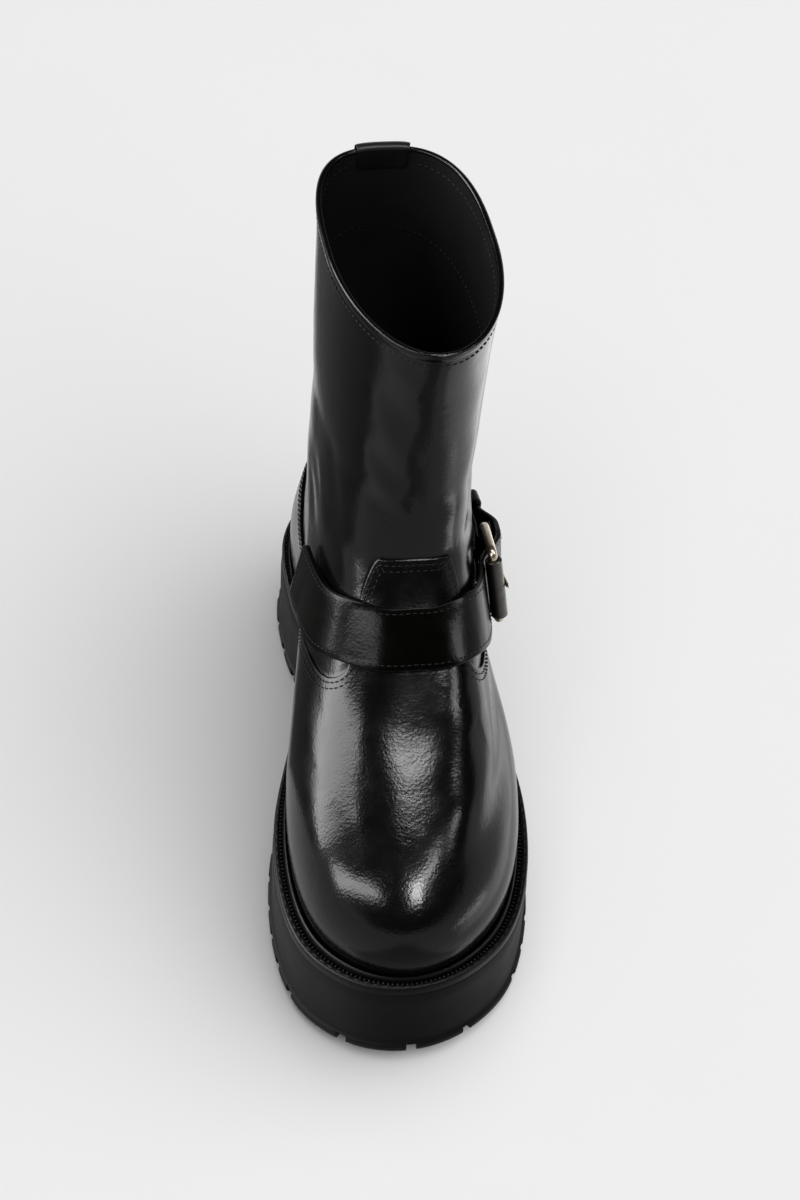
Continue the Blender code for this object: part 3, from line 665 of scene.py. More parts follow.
def rounded_bar(width: float, height: float, round_: float) -> Array:
    """Outline of a flat bar with round edges.

    Args:
        width: Full width, along the first column.
        height: Full height, along the second column.
        round_: Radius of the corners.

    Returns:
        Points round the outline.
    """
    corner_points, flat_points = 4, 7
    points = []
    arc = np.linspace(0.0, math.pi / 2.0, corner_points)
    for quarter, (sx, sy) in enumerate(((1, 1), (-1, 1), (-1, -1), (1, -1))):
        centre = np.array([sx * (width / 2.0 - round_), sy * (height / 2.0 - round_)])
        turn = arc + quarter * math.pi / 2.0
        points.append(centre + round_ * np.stack([np.cos(turn), np.sin(turn)], axis=-1))
        if quarter in (0, 2):
            spread = np.linspace(sx, -sx, flat_points + 2)[1:-1] * (width / 2.0 - round_)
            points.append(np.stack([spread, np.full(flat_points, sy * height / 2.0)], axis=-1))
    return np.concatenate(points)


def ladder(count: int) -> list[tuple[int, ...]]:
    """Faces across a ring whose first and middle points are the ladder's ends."""
    faces = []
    for i in range(count // 2):
        face = (i, i + 1, (count - i - 1) % count, (count - i) % count)
        faces.append(tuple(dict.fromkeys(face)))
    return faces


class Ends(Enum):
    """How a loft's first and last rings are joined."""

    RING = "ring"
    CAP = "cap"
    LADDER = "ladder"


def loft(name: str, rings: Array, ends: Ends, sharp: float = HARD_SHARP) -> bpy.types.Object:
    """Closed mesh through rings of equal count.

    Args:
        name: Name of the piece.
        rings: Points in millimetres, ring by ring.
        ends: How the first and last rings are joined.
        sharp: Edges turned further than this many degrees stay sharp.

    Returns:
        The new object, at the origin.
    """
    rows, columns = rings.shape[:2]
    closed = ends is Ends.RING
    row, column = np.meshgrid(np.arange(rows if closed else rows - 1), np.arange(columns),
                              indexing="ij")
    above = (row + 1) % rows
    beside = (column + 1) % columns
    quads = np.stack([row * columns + column, row * columns + beside,
                      above * columns + beside, above * columns + column], axis=-1)
    faces = [tuple(face) for face in quads.reshape(-1, 4).tolist()]
    for start in () if closed else (0, (rows - 1) * columns):
        steps = ladder(columns) if ends is Ends.LADDER else [tuple(range(columns))]
        faces += [tuple(start + i for i in step) for step in steps]
    mesh = bpy.data.meshes.new(name)
    mesh.from_pydata((rings.reshape(-1, 3) * MM).tolist(), [], faces)
    work = bmesh.new()
    work.from_mesh(mesh)
    bmesh.ops.recalc_face_normals(work, faces=work.faces)
    work.to_mesh(mesh)
    work.free()
    mesh.shade_smooth()
    mesh.set_sharp_from_angle(angle=math.radians(sharp))
    piece = bpy.data.objects.new(name, mesh)
    bpy.context.scene.collection.objects.link(piece)
    return piece


def tube(name: str, path: Array, radius: Array, outward: Array, closed: bool,
         sides: int) -> bpy.types.Object:
    """Round rod along a path.

    Args:
        name: Name of the piece.
        path: Points in millimetres.
        radius: Radius at each point.
        outward: Direction that is never along the path.
        closed: Whether the path is a loop.
        sides: Points round the rod.

    Returns:
        The new object, at the origin.
    """
    if closed:
        run = unit(np.roll(path, -1, axis=0) - np.roll(path, 1, axis=0))
    else:
        run = unit(np.gradient(path, axis=0))
    side = unit(np.cross(run, outward))
    top = np.cross(side, run)
    angle = np.linspace(0.0, 2.0 * math.pi, sides, endpoint=False)[None, :, None]
    ring = side[:, None] * np.cos(angle) + top[:, None] * np.sin(angle)
    rings = path[:, None] + ring * np.broadcast_to(radius, len(path))[:, None, None]
    return loft(name, rings, Ends.RING if closed else Ends.CAP)


def settle(piece: bpy.types.Object) -> None:
    """Turns a piece's modifiers into its plain mesh."""
    graph = bpy.context.evaluated_depsgraph_get()
    mesh = bpy.data.meshes.new_from_object(piece.evaluated_get(graph))
    mesh.name = piece.name
    piece.modifiers.clear()
    piece.data = mesh


def cut_boxes(piece: bpy.types.Object, boxes: Sequence[Matrix], bevel: float) -> None:
    """Cuts boxes out of a piece and rounds its edges.

    Args:
        piece: Piece that is cut.
        boxes: Matrices in metres, each of which shapes a unit cube.
        bevel: Width of the rounded edges in millimetres, 0 for none.
    """
    work = bmesh.new()
    for box in boxes:
        bmesh.ops.create_cube(work, size=1.0, matrix=box)
    mesh = bpy.data.meshes.new(piece.name + "_cutter")
    work.to_mesh(mesh)
    work.free()
    cutter = bpy.data.objects.new(mesh.name, mesh)
    bpy.context.scene.collection.objects.link(cutter)
    boolean = piece.modifiers.new("cut", "BOOLEAN")
    boolean.operation = "DIFFERENCE"
    boolean.solver = "EXACT"
    boolean.object = cutter
    if bevel:
        rounded = piece.modifiers.new("round", "BEVEL")
        rounded.width = bevel * MM
        rounded.segments = 2
        rounded.limit_method = "ANGLE"
        rounded.angle_limit = math.radians(HARD_SHARP)
    settle(piece)
    bpy.data.objects.remove(cutter)
    piece.data.shade_smooth()
    piece.data.set_sharp_from_angle(angle=math.radians(HARD_SHARP))


def box_matrix(centre: Array, axes: Sequence[Array], sizes: Sequence[float]) -> Matrix:
    """Matrix in metres of a box from its centre, three right-handed axes and its sizes."""
    matrix = Matrix.Identity(4)
    for column, (axis, size) in enumerate(zip(axes, sizes)):
        matrix.col[column][:3] = Vector(axis) * size * MM
    matrix.translation = Vector(centre) * MM
    return matrix


def linear(colour: str) -> tuple[float, float, float, float]:
    """Linear colour of an sRGB hex value."""
    channels = [int(colour[i:i + 2], 16) / 255.0 for i in (1, 3, 5)]
    made = [c / 12.92 if c <= 0.04045 else ((c + 0.055) / 1.055) ** 2.4 for c in channels]
    return (*made, 1.0)


def add_node(tree: bpy.types.NodeTree, kind: str, inputs: dict | None = None,
             **settings: object) -> bpy.types.Node:
    """Adds a node with its settings, values and links.

    Args:
        tree: Tree that gets the node.
        kind: Blender's name for the node.
        inputs: Input name or number to a value or to the socket that feeds it.
        **settings: Properties of the node.

    Returns:
        The new node.
    """
    node = tree.nodes.new(kind)
    for name, value in settings.items():
        setattr(node, name, value)
    for name, value in (inputs or {}).items():
        if isinstance(value, bpy.types.NodeSocket):
            tree.links.new(value, node.inputs[name])
        else:
            node.inputs[name].default_value = value
    return node


def mix_colours(tree: bpy.types.NodeTree, share: bpy.types.NodeSocket, one: str,
                other: str) -> bpy.types.NodeSocket:
    """Mixes two colours.

    Args:
        tree: Tree that gets the node.
        share: Socket with the share of the second colour.
        one: First colour, sRGB hex.
        other: Second colour, sRGB hex.

    Returns:
        The mixed colour's socket.
    """
    # The node has sockets of one name for each kind of value; these numbers are its colours
    mixed = add_node(tree, "ShaderNodeMix", {0: share, 6: linear(one), 7: linear(other)},
                     data_type="RGBA")
    return mixed.outputs[2]


def per_mm(size: float) -> float:
    """Texture scale, on coordinates in metres, of a pattern of a size in millimetres."""
    return 1.0 / (size * MM)


@dataclass(frozen=True)
class Finish:
    """A material: its name, two colours, roughness and spread, size of its clouds and gloss."""

    name: str
    colour: str
    second: str
    roughness: float
    spread: float
    cloud: float = 10.0
    gloss: float = 0.5

    def material(self) -> bpy.types.Material:
        """The finish's material, made once."""
        made = bpy.data.materials.get(self.name)
        if made is None:
            made = bpy.data.materials.new(self.name)
            made.use_nodes = True
            made.diffuse_color = linear(self.colour)
            self.dress(made.node_tree, made.node_tree.nodes["Principled BSDF"])
        return made

    def dress(self, tree: bpy.types.NodeTree, shader: bpy.types.Node) -> None:
        """Builds the nodes that feed the shader."""
        raise NotImplementedError

    def cloudy(self, tree: bpy.types.NodeTree, shader: bpy.types.Node) -> bpy.types.NodeSocket:
        """Feeds colour and roughness from soft clouds and sets the gloss.

        Args:
            tree: The material's tree.
            shader: Its shader.

        Returns:
            The coordinates that the clouds lie on.
        """
        where = add_node(tree, "ShaderNodeTexCoord").outputs["Object"]
        cloud = add_node(tree, "ShaderNodeTexNoise",
                         {"Vector": where, "Scale": per_mm(self.cloud), "Detail": 4.0,
                          "Roughness": 0.6})
        tint = mix_colours(tree, cloud.outputs["Fac"], self.colour, self.second)
        gloss = add_node(tree, "ShaderNodeMapRange",
                         {"Value": cloud.outputs["Fac"], "From Min": 0.3, "From Max": 0.7,
                          "To Min": self.roughness - self.spread,
                          "To Max": self.roughness + self.spread})
        tree.links.new(tint, shader.inputs["Base Color"])
        tree.links.new(gloss.outputs["Result"], shader.inputs["Roughness"])
        shader.inputs["Specular IOR Level"].default_value = self.gloss
        return where

    def relief(self, tree: bpy.types.NodeTree, shader: bpy.types.Node,
               layers: Sequence[tuple[bpy.types.NodeSocket, float, float]]) -> None:
        """Stacks bump layers on the shader.

        Args:
            tree: The material's tree.
            shader: Its shader.
            layers: Height socket, strength and depth in millimetres of each layer.
        """
        below = None
        for height, strength, depth in layers:
            inputs = {"Height": height, "Strength": strength, "Distance": depth * MM}
            if below is not None:
                inputs["Normal"] = below
            below = add_node(tree, "ShaderNodeBump", inputs).outputs["Normal"]
        tree.links.new(below, shader.inputs["Normal"])


@dataclass(frozen=True)
class Leather(Finish):
    """Polished full-grain leather: fine pores, a soft waxed gloss and slight pulls in the hide."""

    cloud: float = 14.0
    pore: float = 1.1
    grain: float = 1.6
    pull: float = 9.0
    pore_strength: float = 0.4
    grain_strength: float = 0.6
    pull_strength: float = 0.6
    pore_depth: float = 0.07
    grain_depth: float = 0.065
    pull_depth: float = 0.2
    gloss: float = 0.2

    def dress(self, tree: bpy.types.NodeTree, shader: bpy.types.Node) -> None:
        """Builds the leather's nodes."""
        where = self.cloudy(tree, shader)
        # Pores are drawn a little coarser than life so that they show in the picture
        pores = add_node(tree, "ShaderNodeTexVoronoi",
                         {"Vector": where, "Scale": per_mm(self.pore), "Randomness": 1.0},
                         feature="F1")
        grain = add_node(tree, "ShaderNodeTexNoise",
                         {"Vector": where, "Scale": per_mm(self.grain), "Detail": 4.0,
                          "Roughness": 0.6, "Distortion": 0.8})
        pulls = add_node(tree, "ShaderNodeTexNoise",
                         {"Vector": where, "Scale": per_mm(self.pull), "Detail": 3.0,
                          "Roughness": 0.5, "Distortion": 0.6})
        layers = [(pulls.outputs["Fac"], self.pull_strength, self.pull_depth),
                  (grain.outputs["Fac"], self.grain_strength, self.grain_depth),
                  (pores.outputs["Distance"], self.pore_strength, self.pore_depth)]
        self.relief(tree, shader, layers)


@dataclass(frozen=True)
class Rubber(Finish):
    """Moulded matte rubber: a fine even grain from the mould and a little dust."""

    cloud: float = 22.0
    grit: float = 0.7
    grit_strength: float = 0.4
    grit_depth: float = 0.05
    gloss: float = 0.12

    def dress(self, tree: bpy.types.NodeTree, shader: bpy.types.Node) -> None:
        """Builds the rubber's nodes."""
        where = self.cloudy(tree, shader)
        grit = add_node(tree, "ShaderNodeTexNoise",
                        {"Vector": where, "Scale": per_mm(self.grit), "Detail": 2.0})
        self.relief(tree, shader, [(grit.outputs["Fac"], self.grit_strength, self.grit_depth)])


@dataclass(frozen=True)
class Nickel(Finish):
    """Antique nickel plate: warm grey metal, cloudy, darker where it is tarnished, fine scratches."""

    cloud: float = 3.5
    scratch: float = 0.35
    scratch_run: float = 0.08
    scratch_strength: float = 0.25
    scratch_depth: float = 0.03

    def dress(self, tree: bpy.types.NodeTree, shader: bpy.types.Node) -> None:
        """Builds the metal's nodes."""
        where = self.cloudy(tree, shader)
        stretched = add_node(tree, "ShaderNodeMapping",
                             {"Vector": where, "Scale": (1.0, 1.0, self.scratch_run)})
        lines = add_node(tree, "ShaderNodeTexNoise",
                         {"Vector": stretched.outputs["Vector"], "Scale": per_mm(self.scratch),
                          "Detail": 3.0})
        self.relief(tree, shader,
                    [(lines.outputs["Fac"], self.scratch_strength, self.scratch_depth)])
        shader.inputs["Metallic"].default_value = 1.0


@dataclass(frozen=True)
class Thread(Finish):
    """Waxed polyester thread: twisted strands with a dull sheen."""

    cloud: float = 1.2
    twist: float = 2.4
    twist_strength: float = 0.3
    twist_depth: float = 0.06
    gloss: float = 0.15

    def dress(self, tree: bpy.types.NodeTree, shader: bpy.types.Node) -> None:
        """Builds the thread's nodes."""
        where = self.cloudy(tree, shader)
        twist = add_node(tree, "ShaderNodeTexWave",
                         {"Vector": where, "Scale": per_mm(self.twist), "Distortion": 1.5},
                         bands_direction="DIAGONAL")
        self.relief(tree, shader, [(twist.outputs["Fac"], self.twist_strength, self.twist_depth)])


@dataclass(frozen=True)
class Paper(Finish):
    """Matt studio paper under the boot: pale, even, with hardly any gloss."""

    cloud: float = 90.0
    gloss: float = 0.1

    def dress(self, tree: bpy.types.NodeTree, shader: bpy.types.Node) -> None:
        """Builds the paper's nodes."""
        self.cloudy(tree, shader)


UPPER_LEATHER = Leather("black_polished_calf", "#020202", "#050404", 0.18, 0.04)
STRAP_LEATHER = Leather("black_strap_calf", "#010101", "#030302", 0.22, 0.04, pull=11.0, gloss=0.1)
TAB_LEATHER = Leather("black_tab_calf", "#090808", "#0D0C0C", 0.4, 0.05, gloss=0.3)
LINING_LEATHER = Leather("black_lining_pigskin", "#090808", "#0C0B0B", 0.68, 0.06, gloss=0.06)
WELT_LEATHER = Leather("black_welt_leather", "#020202", "#040403", 0.38, 0.06, gloss=0.14)
SOCK_LEATHER = Leather("black_sock_leather", "#0A0909", "#100F0E", 0.66, 0.06)
SOLE_RUBBER = Rubber("charcoal_moulded_rubber", "#050505", "#080808", 0.58, 0.05)
FRAME_NICKEL = Nickel("antique_nickel", "#D6CCBB", "#B0A592", 0.28, 0.06)
ROLLER_NICKEL = Nickel("antique_nickel_dark", "#4C4A48", "#302E2C", 0.34, 0.07)
BLACK_THREAD = Thread("black_waxed_thread", "#040404", "#080807", 0.5, 0.05)
STUDIO_PAPER = Paper("pale_studio_paper", "#F4F4F4", "#F2F2F2", 0.9, 0.02)
# Painted shade: grey cards seen only in the boot's gloss, which darken the floor that the leather
# mirrors
INNER_SHADE_CARD = Paper("dark_studio_card", "#6C6C6C", "#707070", 0.9, 0.02)
FRONT_SHADE_CARD = Paper("grey_studio_card", "#A2A2A2", "#A6A6A6", 0.9, 0.02)


def dress(piece: bpy.types.Object, finishes: Sequence[Finish],
          nodes: Sequence[str] = ()) -> bpy.types.Object:
    """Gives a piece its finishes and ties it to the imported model.

    Args:
        piece: The finished piece.
        finishes: Its materials, in slot order.
        nodes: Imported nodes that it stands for.

    Returns:
        The piece.
    """
    if not piece.data.materials:
        for finish in finishes:
            piece.data.materials.append(finish.material())
    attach(piece, BODY)
    if nodes:
        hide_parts(*nodes)
    LOG.info("%s: %d faces", piece.name, len(piece.data.polygons))
    return piece


@dataclass(frozen=True)
class Sewing:
    """Rows of stitches, or of ribs, set along paths by Geometry Nodes."""

    pitch: float
    length: float
    width: float
    height: float

    def tree(self) -> bpy.types.NodeTree:
        """The node tree that sets one small rounded body on every pitch of a path.

        Returns:
            The tree, made once.
        """
        made = bpy.data.node_groups.get("row_of_stitches")
        if made is not None:
            return made
        tree = bpy.data.node_groups.new("row_of_stitches", "GeometryNodeTree")
        for name, kind in (("Paths", "NodeSocketGeometry"), ("Pitch", "NodeSocketFloat"),
                           ("Half Size", "NodeSocketVector"), ("Finish", "NodeSocketMaterial")):
            tree.interface.new_socket(name, in_out="INPUT", socket_type=kind)
        tree.interface.new_socket("Stitches", in_out="OUTPUT", socket_type="NodeSocketGeometry")
        given = add_node(tree, "NodeGroupInput").outputs
        curve = add_node(tree, "GeometryNodeMeshToCurve", {"Mesh": given["Paths"]})
        spaced = add_node(tree, "GeometryNodeResampleCurve",
                          {"Curve": curve.outputs["Curve"], "Length": given["Pitch"]},
                          mode="LENGTH")
        tangent = add_node(tree, "GeometryNodeInputTangent")
        outward = add_node(tree, "GeometryNodeInputNamedAttribute", {"Name": "outward"},
                           data_type="FLOAT_VECTOR")
        along = add_node(tree, "FunctionNodeAlignRotationToVector",
                         {"Vector": tangent.outputs["Tangent"]}, axis="X")
        upright = add_node(tree, "FunctionNodeAlignRotationToVector",
                           {"Rotation": along.outputs["Rotation"],
                            "Vector": outward.outputs["Attribute"]}, axis="Z", pivot_axis="X")
        body = add_node(tree, "GeometryNodeMeshUVSphere",
                        {"Segments": 8, "Rings": 5, "Radius": 1.0})
        placed = add_node(tree, "GeometryNodeInstanceOnPoints",
                          {"Points": spaced.outputs["Curve"], "Instance": body.outputs["Mesh"],
                           "Rotation": upright.outputs["Rotation"], "Scale": given["Half Size"]})
        real = add_node(tree, "GeometryNodeRealizeInstances",
                        {"Geometry": placed.outputs["Instances"]})
        smooth = add_node(tree, "GeometryNodeSetShadeSmooth", {"Geometry": real.outputs["Geometry"]})
        done = add_node(tree, "GeometryNodeSetMaterial",
                        {"Geometry": smooth.outputs["Geometry"], "Material": given["Finish"]})
        add_node(tree, "NodeGroupOutput", {"Stitches": done.outputs["Geometry"]})
        return tree

    def sew(self, name: str, rows: Sequence[tuple[Array, Array]], finish: Finish) -> bpy.types.Object:
        """Sews rows of stitches as one piece.

        Args:
            name: Name of the piece.
            rows: Path points and outward directions of each row, in millimetres.
            finish: Finish of the thread.

        Returns:
            The stitches as a plain mesh.
        """
        points = np.concatenate([path for path, _ in rows])
        starts = np.cumsum([0] + [len(path) for path, _ in rows])
        edges = [(i, i + 1) for a, b in zip(starts, starts[1:]) for i in range(a, b - 1)]
        mesh = bpy.data.meshes.new(name)
        mesh.from_pydata((points * MM).tolist(), edges, [])
        outward = mesh.attributes.new("outward", "FLOAT_VECTOR", "POINT")
        outward.data.foreach_set("vector", np.concatenate([out for _, out in rows]).ravel())
        piece = bpy.data.objects.new(name, mesh)
        bpy.context.scene.collection.objects.link(piece)
        tree = self.tree()
        modifier = piece.modifiers.new("stitches", "NODES")
        modifier.node_group = tree
        values = {"Pitch": self.pitch * MM, "Finish": finish.material(),
                  "Half Size": (self.length / 2 * MM, self.width / 2 * MM, self.height / 2 * MM)}
        for item in tree.interface.items_tree:
            if item.name in values:
                modifier[item.identifier] = values[item.name]
        settle(piece)
        return dress(piece, (finish,))


UPPER_STITCH = Sewing(2.7, 2.1, 0.6, 0.5)
FACING_STITCH = Sewing(2.9, 2.2, 0.6, 0.5)
STRAP_STITCH = Sewing(2.7, 2.1, 0.6, 0.45)
SMALL_STITCH = Sewing(2.5, 1.9, 0.55, 0.45)
WELT_STITCH = Sewing(4.2, 3.3, 0.9, 0.7)
WELT_RIB = Sewing(1.9, 1.15, 2.2, 1.3)


@dataclass(frozen=True)
class Crease:
    """Soft ridge or trough in the leather between two spots (level, turn) of the upper."""

    start: Spot
    end: Spot
    width: float
    height: float
    spots: int = 11
    blunt: float = 0.02
    fade: float = 0.7

    def lift(self, last: Last, points: Array) -> Array:
        """Change of height that the crease makes at points of the upper.

        Args:
            last: The boot's form.
            points: Points in millimetres.

        Returns:
            Heights, one for each point.
        """
        share = np.linspace(0.0, 1.0, self.spots)
        line = last.point(self.start[0] + (self.end[0] - self.start[0]) * share,
                          self.start[1] + (self.end[1] - self.start[1]) * share)
        nearest = np.full(len(points), np.inf)
        along = np.zeros(len(points))
        for i, (a, b) in enumerate(zip(line, line[1:])):
            t = np.clip(dot(points - a, b - a) / np.dot(b - a, b - a), 0.0, 1.0)
            far = np.linalg.norm(points - (a + t[:, None] * (b - a)), axis=1)
            closer = far < nearest
            nearest = np.where(closer, far, nearest)
            along = np.where(closer, (i + t) / (len(line) - 1), along)
        taper = np.sin(math.pi * np.clip(along, self.blunt, 1.0 - self.blunt)) ** self.fade
        return self.height * taper * np.exp(-(nearest / self.width) ** 2)


# Creases seen in the leather: diagonal folds down the shaft's front, the pull under the collar,
# the break above the strap on both sides, and shallow dents over the vamp
CREASES = (
    Crease((12.60, 0.590), (12.15, 0.515), 6.0, 0.55),
    Crease((12.05, 0.600), (11.50, 0.520), 5.5, -0.55),
    Crease((11.55, 0.595), (10.85, 0.505), 5.0, 0.60),
    Crease((11.05, 0.605), (10.45, 0.515), 4.5, -0.55),
    Crease((10.65, 0.595), (10.15, 0.500), 4.5, 0.60),
    Crease((10.20, 0.590), (9.90, 0.520), 3.5, -0.50),
    Crease((12.85, 0.430), (11.90, 0.370), 6.0, -0.70),
    Crease((11.10, 0.385), (9.60, 0.450), 6.0, 0.60),
    Crease((10.20, 0.330), (9.10, 0.400), 5.0, -0.60),
    Crease((9.60, 0.300), (8.70, 0.350), 4.0, 0.45),
    Crease((10.30, 0.700), (9.30, 0.640), 6.0, -0.60),
    Crease((9.60, 0.730), (8.80, 0.670), 5.0, 0.50),
    Crease((8.90, 0.780), (8.20, 0.720), 5.0, -0.45),
    Crease((9.40, 0.060), (9.10, 0.930), 6.0, -0.50),
    Crease((10.30, 0.080), (10.10, 0.940), 6.0, -0.40),
    Crease((4.90, 0.640), (4.40, 0.545), 8.0, -0.45),
    Crease((6.20, 0.560), (3.40, 0.512), 6.0, -0.30),
    Crease((5.60, 0.455), (4.70, 0.415), 8.0, 0.35),
    Crease((6.40, 0.420), (5.60, 0.370), 9.0, -0.35),
)


@dataclass
class Upper:
    """Vamp and shaft in one leather wall with its lining, seams and stitch rows."""

    last: Last
    columns: int = 288
    vamp_rows: int = 130
    shaft_rows: int = 96
    rim_rows: int = 9
    lining_rows: int = 44
    sharp: float = 50.0
    vamp_sink: float = 0.16
    vamp_sink_run: float = 0.08
    collar_step: float = 0.5
    collar_band: float = 0.14
    rim_round: float = 0.03
    lining_top: float = 0.05
    facing_level: float = 11.6
    facing_step: float = 0.5
    lining_fade: Spot = (4.0, 3.0)
    feather_fade: Spot = (0.0, 1.2)
    collar_fade: Spot = (COLLAR - 0.4, 0.5)
    seam_fade: Spot = (4.4, 0.1)
    seam_reach: float = 0.1
    seam_width: float = 0.9
    seam_depth: float = 0.5
    seam_row: float = 2.0
    seam_row_start: float = 0.002
    seam_row_levels: Spot = (4.6, COLLAR - 0.95)
    edge_probe: float = 0.3
    edge_insets: Spot = (1.7, 4.2)
    edge_row_turns: Spot = (0.02, 0.98)
    collar_row: float = 0.22
    collar_row_lift: float = 0.08
    facing_row: float = 0.12
    facing_row_turns: Spot = (0.05, 0.95)
    thread_lift: float = 0.05
    edge_points: int = 1600
    level_points: int = 400
    seam_points: int = 240

    def edge_rows(self, turn: Array) -> list[tuple[Array, Array, bool]]:
        """Rows of level and lift from the feather line over rim and lining back to it.

        Args:
            turn: Turns of the columns.

        Returns:
            Level, lift and whether the row is leather, for each row.
        """
        edge = self.last.vamp_edge(turn)
        step = self.last.vamp_step
        band = COLLAR - self.collar_band
        flat = np.zeros_like(turn)
        rows = [(edge * share, flat + step, True) for share in np.linspace(0, 1, self.vamp_rows)]
        rows += [(edge + lip.rise, flat + step * lip.share, True) for lip in VAMP_LIP]
        foot = edge + VAMP_LIP[-1].rise
        for share in np.linspace(0.0, 1.0, self.shaft_rows)[1:]:
            level = foot + (band - foot) * share
            sink = self.vamp_sink * np.exp(-((level - foot) / self.vamp_sink_run) ** 2)
            rows.append((level, -sink, True))
        wall = self.last.wall
        rows += [(band + lip.rise + flat, flat + self.collar_step * lip.share, True)
                 for lip in COLLAR_LIP]
        middle = (self.collar_step - wall) / 2.0
        half = (self.collar_step + wall) / 2.0
        for angle in np.linspace(0.0, math.pi, self.rim_rows):
            drop = self.rim_round * (1.0 - math.sin(angle))
            rows.append((COLLAR - drop + flat, flat + middle + half * math.cos(angle), True))
        for level in np.linspace(COLLAR - self.lining_top, 0.0, self.lining_rows):
            thin = self.facing_step if level < self.facing_level else 0.0
            rows.append((level + flat, flat - wall + thin, False))
        return rows

    def build(self) -> None:
        """Builds the upper with its creases and sews its seams."""
        turn = np.arange(self.columns) / self.columns
        rows = self.edge_rows(turn)
        level = np.array([row[0] for row in rows])
        lift = np.array([row[1] for row in rows])
        leather = np.array([row[2] for row in rows])
        turns = np.broadcast_to(turn, level.shape)
        plain = self.last.point(level, turns)
        fade = np.where(leather[:, None], 1.0, ramp(level, *self.lining_fade))
        fade = fade * ramp(level, *self.feather_fade) * (1.0 - ramp(level, *self.collar_fade))
        flat = plain.reshape(-1, 3)
        swell = self.hide_waves(plain)
        for crease in CREASES:
            swell += crease.lift(self.last, flat).reshape(swell.shape)
        lift = lift + swell * fade + self.back_seam(level, turns, plain) * leather[:, None]
        rings = self.last.point(level, turns, lift)
        piece = loft(UPPER_PIECE, rings, Ends.RING, self.sharp)
        dress(piece, (UPPER_LEATHER, LINING_LEATHER), ("upper",))
        of_face = np.repeat(np.where(leather, 0, 1), self.columns)
        piece.data.polygons.foreach_set("material_index", of_face.astype(np.int32))
        self.sew_seams()

    def hide_waves(self, points: Array) -> Array:
        """Gentle unevenness of the hide, a fraction of a millimetre."""
        return sum(wave.height * np.sin(points @ np.array(wave.first) + wave.first_phase)
                   * np.sin(points @ np.array(wave.second) + wave.second_phase)
                   for wave in HIDE_WAVES)

    def back_seam(self, level: Array, turn: Array, points: Array) -> Array:
        """Closed seam up the back of the shaft, a narrow groove.

        Args:
            level: Levels of the points.
            turn: Turns of the points.
            points: Points of the upper, whose first column runs up the back.

        Returns:
            Heights, one for each point.
        """
        behind = np.abs(np.mod(turn + 0.5, 1.0) - 0.5) < self.seam_reach
        away = np.abs(points[..., 0] - points[:, :1, 0])
        over = ramp(level, *self.seam_fade) * behind
        return -self.seam_depth * np.exp(-(away / self.seam_width) ** 2) * over

    def along_edge(self, turn: Array, inset: float, lift: float) -> tuple[Array, Array]:
        """Row on the vamp a distance inside its top edge.

        Args:
            turn: Turns along the edge.
            inset: Distance from the edge.
            lift: Height of the row over the upper.

        Returns:
            Points and outward directions.
        """
        level = self.last.vamp_edge(turn)
        line = self.last.point(level, turn)
        run = unit(np.gradient(line, axis=0))
        inward = np.cross(run, self.last.normal(level, turn))
        low = self.last.point(np.maximum(level - self.edge_probe, 0.0), turn)
        inward *= np.sign(dot(inward, low - line).sum())
        spots = self.last.walk(level, turn, inward, inset)
        return self.last.point(*spots, lift), self.last.normal(*spots)

    def level_row(self, level: float, lift: float, turns: Spot = (0.0, 1.0)) -> tuple[Array, Array]:
        """Row at one level between two turns."""
        turn = np.linspace(*turns, self.level_points)
        flat = np.full_like(turn, level)
        return self.last.point(flat, turn, lift), self.last.normal(flat, turn)

    def sew_seams(self) -> None:
        """Sews the vamp's double rows, the collar's rows and the back seam."""
        over = self.last.vamp_step + self.thread_lift
        turn = np.linspace(*self.edge_row_turns, self.edge_points)
        rows = [self.along_edge(turn, inset, over) for inset in self.edge_insets]
        rows.append(self.level_row(COLLAR - self.collar_row, self.collar_row_lift))
        climb = np.linspace(*self.seam_row_levels, self.seam_points)
        for side in Side:
            heading = np.broadcast_to([float(side.value), 0.0, 0.0], (len(climb), 3))
            start = np.full_like(climb, self.seam_row_start * side.value)
            spots = self.last.walk(climb, start, heading, self.seam_row)
            rows.append((self.last.point(*spots, self.thread_lift), self.last.normal(*spots)))
        UPPER_STITCH.sew("upper_stitches", rows, BLACK_THREAD)
        inside = -self.last.wall - self.thread_lift
        rows = [self.level_row(COLLAR - self.collar_row, inside, self.facing_row_turns),
                self.level_row(self.facing_level + self.facing_row, inside)]
        FACING_STITCH.sew("facing_stitches", rows, BLACK_THREAD)


